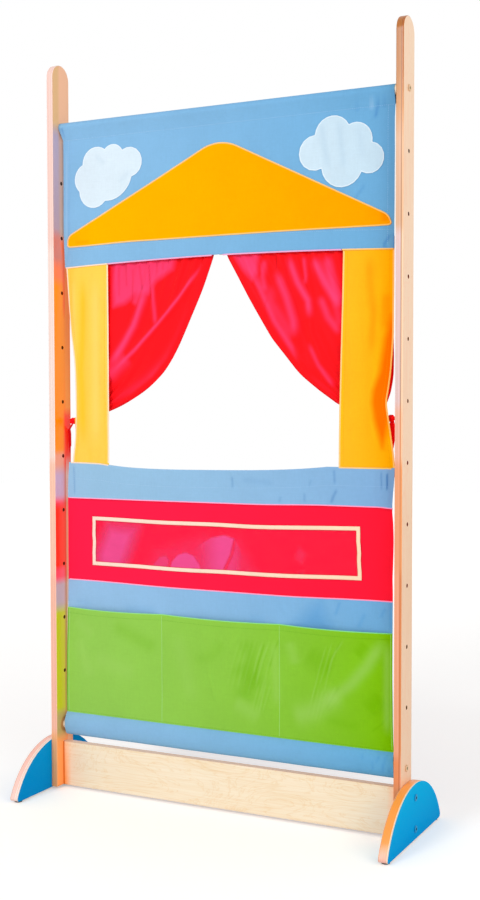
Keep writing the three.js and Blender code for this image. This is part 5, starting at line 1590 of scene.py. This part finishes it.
# The outlines of the patches of painted glare, from left to right.
SLANTED_PATCH = [(-262, 560), (-188, 556), (-222, 466), (-292, 462), (-290, 500)]
SMALL_HUMP = [(-160, 464), (-153, 484), (-140, 499), (-124, 503), (-114, 494), (-124, 464)]
ROUND_HUMP = [(-120, 462), (-111, 490), (-97, 505), (-78, 511), (-60, 505), (-47, 488), (-40, 462)]
TALL_HUMP = [
    (-78, 506), (-54, 526), (-22, 543), (8, 549), (30, 543), (22, 512), (6, 480), (0, 462), (-40, 462), (-52, 486),
]
FLAP = [(33, 540), (42, 528), (52, 500), (62, 476), (66, 462), (6, 462), (12, 482), (27, 512)]
BROAD_SHEEN = [(-180, 462), (-150, 512), (-40, 548), (40, 545), (90, 462)]
GLARE_SPOTS = [[(170, 536), (186, 520), (176, 500), (160, 512)], [(168, 484), (182, 488), (176, 470), (166, 472)]]


def glare_mask(x, z):
    """How much painted glare lies on each point of the film."""
    patch = 0.78 * inside(SLANTED_PATCH, x, z, 20)
    humps = np.maximum(0.55 * inside(SMALL_HUMP, x, z, 4), 0.8 * inside(ROUND_HUMP, x, z, 2.5))
    tall = 0.8 * inside(TALL_HUMP, x, z, 3) * (0.3 + 0.7 * smooth(-70 * MM, 5 * MM, x))
    flap = 0.55 * inside(FLAP, x, z, 3) * smooth(74 * MM, 22 * MM, x)
    faint = 0.22 * sum(inside(glare_spot, x, z, 5) for glare_spot in GLARE_SPOTS)
    sheen = 0.25 * inside(BROAD_SHEEN, x, z, 14)
    return np.maximum.reduce([patch, humps, tall, flap, faint, sheen])


def place_film(u, v):
    x = mix(CARD_X - CARD_HALF + 3 * MM, CARD_X + CARD_HALF - 3 * MM, u)
    z = mix(CARD_LOW + 3 * MM, CARD_HIGH - 3 * MM, v)
    free = smooth(0, 14 * MM, z - CARD_LOW - 6 * MM) * smooth(0, 14 * MM, CARD_HIGH - 6 * MM - z)
    x, z = card_spot(x, z)
    return x, billow(x, z) - 1.0 * MM - 0.9 * MM * glare_mask(x, z) * free, z


card = cloth("card_window.film", 240, 44, place_film, 0.35 * MM, (590 * MM, 94 * MM))
paint(card, "glare", glare_mask)
finish_piece(card, "Clear vinyl", stands_for=["card_window"])

inset = TAPE_WIDTH / 2
tape_corners = [
    (CARD_X - CARD_HALF + inset, CARD_LOW + inset), (CARD_X + CARD_HALF - inset, CARD_LOW + inset),
    (CARD_X + CARD_HALF - inset, CARD_HIGH - inset), (CARD_X - CARD_HALF + inset, CARD_HIGH - inset),
]
tape_line = []
for (ax, az), (bx, bz) in zip(tape_corners, tape_corners[1:] + tape_corners[:1]):
    steps = 40 if abs(bx - ax) > abs(bz - az) else 8
    for share in np.arange(steps) / steps:
        wobble = 0.7 * MM * math.sin(TURN * share * 2.3) * math.sin(math.pi * share)
        level = abs(bx - ax) > abs(bz - az)
        tape_line.append((mix(ax, bx, share) + (0 if level else wobble),
                          mix(az, bz, share) + (wobble if level else 0)))
tape_x, tape_z = card_spot(*np.array(tape_line).T)
tape_spots = np.stack([tape_x, billow(tape_x, tape_z) - 1.65 * MM, tape_z], 1)
tape = bead("card_window.tape", tape_spots, TAPE_WIDTH, 0.6 * MM, closed=True, sides=12, flat=0.2)
finish_piece(tape, "Cream tape", stands_for=["card_window_tape"])
# A dark red bead a little wider than the tape lies under it and shows as a painted shadow line beside it.
tape_shadow_spots = tape_spots + np.array([0, 0.35 * MM, 0])
tape_shadow = bead("card_window.tape_shadow", tape_shadow_spots, TAPE_WIDTH + 1.8 * MM, 0.2 * MM, closed=True)
finish_piece(tape_shadow, "Dark red thread and painted shade")
for label, grow in (("outer", inset - 1.2 * MM), ("inner", 1.2 * MM - inset)):
    centre = np.array([CARD_X, (CARD_LOW + CARD_HIGH) / 2])
    half = np.array([CARD_HALF - inset + grow, (CARD_HIGH - CARD_LOW) / 2 - inset + grow])
    ring = [centre + half * np.array(corner) for corner in ((-1, -1), (1, -1), (1, 1), (-1, 1), (-1, -1))]
    ring = resample([(x, 0, z) for x, z in ring], 4 * MM)
    line = list(zip(*card_spot(ring[:, 0], ring[:, 2])))
    row = stitches(f"card_window.{label}_stitches", front_path(line, 2.1 * MM, STITCH_PITCH))
    finish_piece(row, "Cream thread")

# %% [markdown]
# ## Curtains
# Each curtain is gathered on a tape behind the valance and tied back at the side, so its leading
# edge sweeps from the middle of the window to the tie. A point of the sheet is given by how far it
# lies out from that edge and how far down. Small pleats start at the tape and die away, long folds
# follow strokes drawn on the cloth, and near the tie everything crowds into deep round folds.

# %% What each curtain follows
# Places are in millimetres on the front view. Folds, painted highlights and painted shade in creases
# are rows of (path, width, strength), the patch is one more painted highlight, and the ends of a tie
# are rows of (x, y, length, turn in degrees).
CURTAINS = {
    "left": {
        "way": -1, "tie": (-336, 771.5), "side_x": -338, "knot": (-355.4, 8.4),
        "ends": [(-368.4, 20, 64, 84), (-367.0, 21, 50, 98)], "ribbon_half": 4.2, "pleats": 13, "rounding": 0.07,
        "lead": [
            (-15, 1112.5), (-21, 1091), (-50, 1017), (-82, 949), (-115, 890), (-152, 851), (-202, 818.5), (-262, 791),
            (-300, 783.8), (-325, 782.5),
        ],
        "outer": [
            (-357, 1112.5), (-356, 1050), (-351, 990), (-345, 930), (-342, 880), (-341, 830), (-343, 800),
            (-347, 782.5),
        ],
        "folds": [
            ([(-46, 1080), (-88, 1022), (-119, 990), (-158, 956), (-201, 922), (-258, 868), (-320, 800)], 7, 3.4),
            ([(-163, 1100), (-161, 1041), (-159, 1001), (-157, 945)], 5, 1.8),
            ([(-169, 1060), (-185, 1009), (-203, 966), (-225, 932), (-255, 889), (-310, 810)], 12, 3.6),
            ([(-250, 1090), (-246, 1000), (-262, 900), (-300, 820)], 14, 3.0),
            ([(-30, 1040), (-90, 925), (-150, 868), (-230, 822), (-300, 795)], 16, 2.6),
            ([(-300, 1095), (-302, 960), (-312, 850)], 12, 3.0), ([(-335, 1095), (-338, 940), (-342, 830)], 9, 2.6),
        ],
        "painted_sheen": [
            ([(-38, 1088), (-71, 1050), (-97, 1018), (-123, 990), (-157, 958), (-202, 916), (-262, 864)], 3.4, 0.75),
            ([(-60, 985), (-90, 929), (-124, 888), (-168, 850), (-211, 823), (-256, 805)], 14, 0.35),
            ([(-158, 1050), (-157, 1020), (-154, 990), (-152, 962)], 4, 0.55),
            ([(-169, 1048), (-185, 1009), (-203, 966), (-225, 932), (-262, 880)], 7, 0.8),
            ([(-215, 905), (-245, 880), (-270, 858)], 12, 0.5),
            ([(-265, 799), (-214, 816), (-165, 846), (-130, 885)], 9, 0.4),
            ([(-105, 905), (-80, 960), (-62, 1000)], 10, 0.2), ([(-205, 1005), (-190, 1030), (-172, 1050)], 10, 0.6),
        ],
        "patch": ([
            (-252, 1096), (-107, 1096), (-112, 1076), (-150, 1054), (-168, 1030), (-200, 1030), (-225, 1012),
            (-250, 1006),
        ], 7, 0.8),
        "creases": [
            ([(-220, 1092), (-220, 1044)], 1.8, 0.45), ([(-238, 1090), (-238, 1024)], 1.8, 0.4),
            ([(-190, 1090), (-184, 1048), (-181, 1034)], 2, 0.4), ([(-150, 1092), (-148, 1068)], 1.8, 0.35),
            ([(-134, 1092), (-134, 1074)], 1.8, 0.3), ([(-206, 1084), (-206, 1020), (-212, 1008)], 1.6, 0.45),
            ([(-165, 1092), (-164, 1046), (-161, 1010)], 1.4, 0.7),
            ([(-178, 1052), (-196, 1006), (-205, 975)], 3, 0.25),
        ],
        "band": 22,
    },
    "right": {
        "way": 1, "tie": (330, 779.5), "side_x": 340, "knot": (349.7, 7.0),
        "ends": [(353.4, 11, 52, 20), (351.4, 18, 40, 35)], "ribbon_half": 5.6, "pleats": 14, "rounding": 0.02,
        "lead": [
            (4, 1112.5), (13, 1091), (57, 1014), (107, 933), (160, 869), (174, 856), (205, 832), (246, 804),
            (290, 792), (319, 790.5),
        ],
        "outer": [
            (350, 1112.5), (351, 1030), (354.5, 950), (355.5, 892), (354.5, 862), (352, 845), (348, 827), (343, 814),
            (338, 802), (340, 790.5),
        ],
        "folds": [
            ([(40, 1090), (84, 1028), (114, 966), (149, 914), (200, 850)], 8, 3.0),
            ([(121, 1090), (121, 1052), (139, 1010), (153, 965), (165, 900), (210, 840)], 8, 3.0),
            ([(146, 1100), (146, 1079), (163, 1037), (184, 1002), (190, 940), (230, 850)], 8, 3.2),
            ([(177, 1100), (180, 1049), (200, 980)], 6, 2.0),
            ([(198, 1100), (198, 1079), (218, 1038), (249, 986), (290, 880)], 9, 3.2),
            ([(208, 1007), (225, 969), (249, 937), (300, 850)], 8, 2.4),
            ([(188, 919), (218, 862), (250, 825), (300, 800)], 8, 2.4),
            ([(93, 1090), (89, 1050), (96, 1018)], 6, 1.6), ([(280, 1095), (290, 980), (315, 850)], 12, 3.2),
            ([(325, 1095), (334, 960), (334, 850)], 10, 2.8),
        ],
        "painted_sheen": [
            ([(60, 1075), (84, 1028), (114, 966), (149, 914), (165, 880)], 6, 0.55),
            ([(121, 1066), (121, 1052), (139, 1010), (153, 965), (156, 930)], 8, 0.6),
            ([(140, 1092), (146, 1079), (163, 1037), (184, 1002), (188, 965)], 6.5, 0.75),
            ([(176, 1088), (180, 1049), (178, 1030)], 4, 0.5),
            ([(196, 1088), (200, 1072), (220, 1034), (252, 984)], 8, 0.75),
            ([(206, 1014), (225, 969), (252, 935)], 7, 0.5), ([(182, 925), (205, 880), (240, 835)], 4.5, 0.45),
            ([(93, 1088), (89, 1050), (96, 1018)], 6, 0.5),
            ([(100, 1040), (108, 1000), (135, 960), (152, 925)], 10, 0.3),
            ([(150, 868), (200, 838), (235, 815)], 8, 0.25),
            ([(220, 1090), (230, 1050), (243, 1010), (250, 985)], 9, 0.65),
            ([(240, 1000), (246, 970), (250, 950)], 8, 0.3),
        ],
        "patch": ([(26, 1096), (80, 1096), (76, 1060), (66, 1046), (48, 1066)], 6, 0.8),
        "creases": [
            ([(142, 1092), (139, 1048), (156, 1006), (174, 939)], 2.4, 0.3), ([(118, 1092), (117, 1062)], 1.5, 0.6),
            ([(160, 1085), (172, 1050), (196, 1000)], 2.4, 0.25),
            ([(214, 1090), (232, 1050), (258, 1010)], 2.2, 0.25), ([(100, 1010), (92, 990), (98, 970)], 2, 0.25),
        ],
        "band": 16,
    },
}
RIBBON_HEIGHT = 15 * MM
TIE_REACH = 369.5 * MM
BUNDLE_HALF, BUNDLE_DEPTH, BUNDLE_Y = 11 * MM, 6.2 * MM, 14 * MM
HEADING_Y = 8.2 * MM
FAN_ROWS, NECK_ROWS, TAIL_ROWS = 118, 6, 44
CURTAIN_FOLDS = 8


def along_curve(points, share, rounding=0.02):
    """Places on a smooth curve through (x, z) points, by their share of its length."""
    spots = np.array(points, float) * MM
    passed = np.concatenate([[0], np.cumsum(np.hypot(*np.diff(spots, axis=0).T))])
    passed /= passed[-1]
    reach = rounding * np.minimum(1, 8 * share * (1 - share)) + 0 * share
    at = [share + step * reach for step in np.linspace(-1, 1, 9)]
    return [sum(np.interp(a, passed, spots[:, axis]) for a in at) / len(at) for axis in (0, 1)]


def painted_sheen_rule(plan):
    """Where a highlight is painted on the satin: along its drawn strokes, and not beside its leading edge."""
    patch, soft, strength = plan["patch"]
    def rule(x, z):
        masks = [value * stroke(path, x, z, width, 0.2) for path, width, value in plan["painted_sheen"]]
        masks.append(strength * inside(patch, x, z, soft))
        clear = np.ones(x.shape)
        for mask in masks:
            clear = clear * (1 - np.clip(mask, 0, 0.95))
        gap, _, _ = distance_to(plan["lead"], x, z)
        return (1 - clear) * smooth(0.4 * plan["band"] * MM, plan["band"] * MM, gap)
    return rule


def shadow_rule(plan):
    """Where shade is painted on the satin: in its creases and along its leading edge."""
    def rule(x, z):
        lines = sum(value * stroke(path, x, z, width, 0.1) for path, width, value in plan["creases"])
        gap, _, _ = distance_to(plan["lead"], x, z)
        return np.maximum(lines, 0.75 * np.exp(-((gap / (1.6 * MM)) ** 2)))
    return rule


def place_curtain(plan):
    """A rule for a tied-back curtain: a fan down to the tie, a neck in the tie, and a flared tail."""
    way = plan["way"]
    tie_x, tie_z = plan["tie"][0] * MM, plan["tie"][1] * MM
    neck_top, neck_low = tie_z + 11 * MM, tie_z - 11 * MM
    total = FAN_ROWS + NECK_ROWS + TAIL_ROWS

    def place(u, v):
        s = 1 - u if way < 0 else u
        row = np.round((1 - v) * total)
        down = np.clip(row / FAN_ROWS, 0, 1)
        tail = np.clip((row - FAN_ROWS - NECK_ROWS) / TAIL_ROWS, 0, 1)
        lead_x, lead_z = along_curve(plan["lead"], down, plan["rounding"])
        outer_x, outer_z = along_curve(plan["outer"], down)
        round_s = np.sqrt(np.clip(1 - (2 * s - 1) ** 2, 0, 1))
        x, z = mix(lead_x, outer_x, s), mix(lead_z, outer_z, s)
        neck_share = np.clip((row - FAN_ROWS) / NECK_ROWS, 0, 1)
        z = z - neck_share * (neck_top - neck_low)
        spread_out = np.sin(tail * math.pi / 2)
        near = mix(tie_x - way * BUNDLE_HALF, plan["side_x"] * MM - way * 50 * MM, spread_out)
        far = mix(tie_x + way * BUNDLE_HALF, plan["side_x"] * MM + way * 3 * MM, spread_out)
        x = np.where(tail > 0, mix(near, far, s), x)
        z = z - tail * mix(34 * MM, 184 * MM, s)
        pleat = 2.0 * MM * np.cos(TURN * plan["pleats"] * s) * smooth(0.34, 0.0, down + 0.06 * np.sin(9 * s * TURN))
        crowd = down ** 5
        folds = np.cos(TURN * (CURTAIN_FOLDS * s + 0.06 * np.sin(3.1 * TURN * s)))
        deep = mix(0.5 * MM, BUNDLE_DEPTH * (0.25 + 0.75 * round_s), crowd)
        deep = np.where(tail > 0, mix(BUNDLE_DEPTH * (0.25 + 0.75 * round_s), 8 * MM, smooth(0, 1, tail)), deep)
        strokes = sum(height * MM * stroke(path, x, z, width, 0.2) for path, width, height in plan["folds"])
        strokes = strokes * np.where(tail > 0, 0, smooth(1.0, 0.8, down)) * smooth(0, 0.06, down)
        base = mix(HEADING_Y, BUNDLE_Y, smooth(0.1, 1, down))
        sway = 0.8 * MM * np.sin(TURN * (1.3 * s + 2.1 * down)) * smooth(0, 0.2, down) * (1 - crowd)
        y = base + folds * deep + pleat + sway - strokes + billow(x, z) * (1 - smooth(0, 0.5, down))
        return x, np.maximum(y, 2.6 * MM + 0.25 * (y - 2.6 * MM)), z

    return place


for side, plan in CURTAINS.items():
    curtain = cloth(
        f"{side}_curtain.cloth", 150, FAN_ROWS + NECK_ROWS + TAIL_ROWS, place_curtain(plan), 0.5 * MM, (0.42, 0.55),
    )
    paint(curtain, "painted_sheen", painted_sheen_rule(plan))
    paint(curtain, "fold_shadow", shadow_rule(plan))
    finish_piece(curtain, "Red satin", f"{side}_curtain", [f"{side}_curtain"])

# %% [markdown]
# ## Heading tapes and ties
# A woven tape behind the valance holds each curtain's gathers. Low down, a satin ribbon goes round
# the curtain and is knotted at its side, with two short ends. A small loop of yellow cloth on the
# strip holds it back, and a slack end joins loop and ribbon, so the curtain can swing a little.

# %% Heading tapes
for side, plan in CURTAINS.items():
    low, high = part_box(f"{side}_heading_tape")

    def place_tape(u, v):
        x, z = mix(low.x, high.x, u), mix(low.z, high.z, v)
        rib = 0.12 * MM * np.cos(TURN * u * 55)
        return x, (low.y + high.y) / 2 + billow(x, z) + rib, z

    tape = cloth(f"{side}_heading_tape.cloth", 220, 8, place_tape, 0.6 * MM, (high.x - low.x, high.z - low.z))
    finish_piece(tape, "Heading tape", stands_for=[f"{side}_heading_tape"])
    for label, drop in (("upper", 3 * MM), ("lower", 17 * MM)):
        line = [(x, high.z - drop) for x in np.linspace(low.x + 2 * MM, high.x - 2 * MM, 80)]
        row = stitches(f"{side}_heading_tape.{label}_stitches", front_path(line, -3.1 * MM, STITCH_PITCH))
        finish_piece(row, "Cream thread")

# %% Ribbon, knot and ends
def make_tie(side, plan):
    """The ribbon round a curtain, its knot and its two short ends."""
    way = plan["way"]
    tie_x, tie_z = plan["tie"][0] * MM, plan["tie"][1] * MM
    reach_x, reach_y = BUNDLE_HALF + 1.7 * MM, BUNDLE_DEPTH + 2.6 * MM

    def place_ribbon(u, v):
        turn = u * TURN
        pinch = 1 - 0.45 * smooth(0.55, 1.0, way * np.cos(turn))
        crease = 0.5 * MM * np.sin(TURN * (v * 2.2 + 0.15 * np.sin(3 * turn))) + 0.35 * MM * np.sin(5 * turn + 6 * v)
        grow = 0.5 * MM + crease
        return (tie_x + (reach_x + grow) * np.cos(turn), BUNDLE_Y + (reach_y + grow) * np.sin(turn),
                tie_z + (v - 0.5) * RIBBON_HEIGHT * pinch + 0.6 * MM * np.sin(2 * turn))

    ribbon = cloth(f"{side}_tie.ribbon", 72, 16, place_ribbon, 0.5 * MM, (0.1, RIBBON_HEIGHT))
    finish_piece(ribbon, "Red satin", f"{side}_curtain", [f"{side}_tie"])
    knot_x, knot_half = plan["knot"][0] * MM, plan["knot"][1] * MM
    bpy.ops.mesh.primitive_uv_sphere_add(segments=28, ring_count=18, radius=1)
    knot = bpy.context.object
    knot.name = knot.data.name = f"{side}_tie.knot"
    spots = np.array([point.co for point in knot.data.vertices])
    angle = np.arctan2(spots[:, 1], spots[:, 2])
    dents = 1 + 0.09 * np.cos(5 * angle + 2.2 * spots[:, 0]) - 0.14 * np.exp(-((spots[:, 0] / 0.28) ** 2))
    shape = spots * dents[:, None] * np.array([knot_half, 6.4 * MM, 7.0 * MM]) + np.array([knot_x, BUNDLE_Y, tie_z])
    knot.data.vertices.foreach_set("co", shape.ravel())
    only(knot)
    bpy.ops.object.shade_smooth()
    finish_piece(knot, "Red satin", f"{side}_curtain")
    ends = []
    for index, (hang_x, hang_y, length, turned) in enumerate(plan["ends"]):
        def place_end(u, v):
            drop = 1 - v
            fullness = np.sin(math.pi * np.clip(0.12 + 0.8 * drop, 0, 1)) ** 0.6
            half = plan["ribbon_half"] * MM * fullness * (1 - 0.3 * drop ** 4)
            turn = math.radians(turned) * (1 + 0.12 * np.sin(4 * drop))
            across = (u - 0.5) * 2 * half
            curl = 0.9 * MM * np.cos(TURN * (u - 0.5)) * np.sin(math.pi * drop)
            x = mix(knot_x + way * 2 * MM, hang_x * MM, smooth(0, 0.3, drop))
            x = x + across * np.cos(turn) + curl * np.sin(turn)
            y = mix(BUNDLE_Y, hang_y * MM, smooth(0, 0.5, drop)) + across * np.sin(turn)
            z = tie_z - 3 * MM - drop * length * MM - 1.5 * MM * (u - 0.5) * drop
            return np.clip(x, -TIE_REACH, TIE_REACH), y, z

        end = cloth(f"{side}_tie.end_{index + 1}", 10, 44, place_end, 0.5 * MM, (0.011, length * MM))
        ends.append(finish_piece(end, "Red satin", f"{side}_curtain"))
    return ribbon, knot, ends


for side, plan in CURTAINS.items():
    plan["ribbon"], plan["knot"], plan["ends"] = make_tie(side, plan)

# %% Loops on the strips, and the slack end that joins each to its ribbon
for side, plan in CURTAINS.items():
    way = plan["way"]
    low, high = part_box(f"{side}_tie_loop")
    tie_x = plan["tie"][0] * MM

    def place_loop(u, v):
        turn = u * TURN
        x = (low.x + high.x) / 2 + (high.x - low.x) / 2 * np.sign(np.cos(turn)) * np.abs(np.cos(turn)) ** 0.6
        y = (low.y + high.y) / 2 + 0.75 * MM * np.sin(turn)
        return x, y, mix(low.z, high.z, v)

    loop = cloth(f"{side}_tie_loop.cloth", 40, 8, place_loop, 0.4 * MM, (0.03, 0.015))
    finish_piece(loop, "Right yellow cotton", stands_for=[f"{side}_tie_loop"])

    def place_slack(u, v):
        """Hangs from the loop's back, turns at the bottom and rises to the front of the ribbon."""
        turn = math.pi * np.clip((v - 0.4) / 0.2, 0, 1)
        leg = np.where(v < 0.4, 0.4 - v, np.where(v > 0.6, v - 0.6, 0)) * 45 * MM
        x = tie_x + way * 6 * MM + (u - 0.5) * 4 * MM
        y = mix(4.2 * MM, 5.4 * MM, 0.5 - 0.5 * np.cos(turn))
        return x, y, plan["tie"][1] * MM - 16 * MM + leg - 1.2 * MM * np.sin(turn)

    slack = cloth(f"{side}_tie.slack", 4, 60, place_slack, 0.4 * MM, (0.004, 0.04))
    finish_piece(slack, "Red satin", body=None)
    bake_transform(slack)
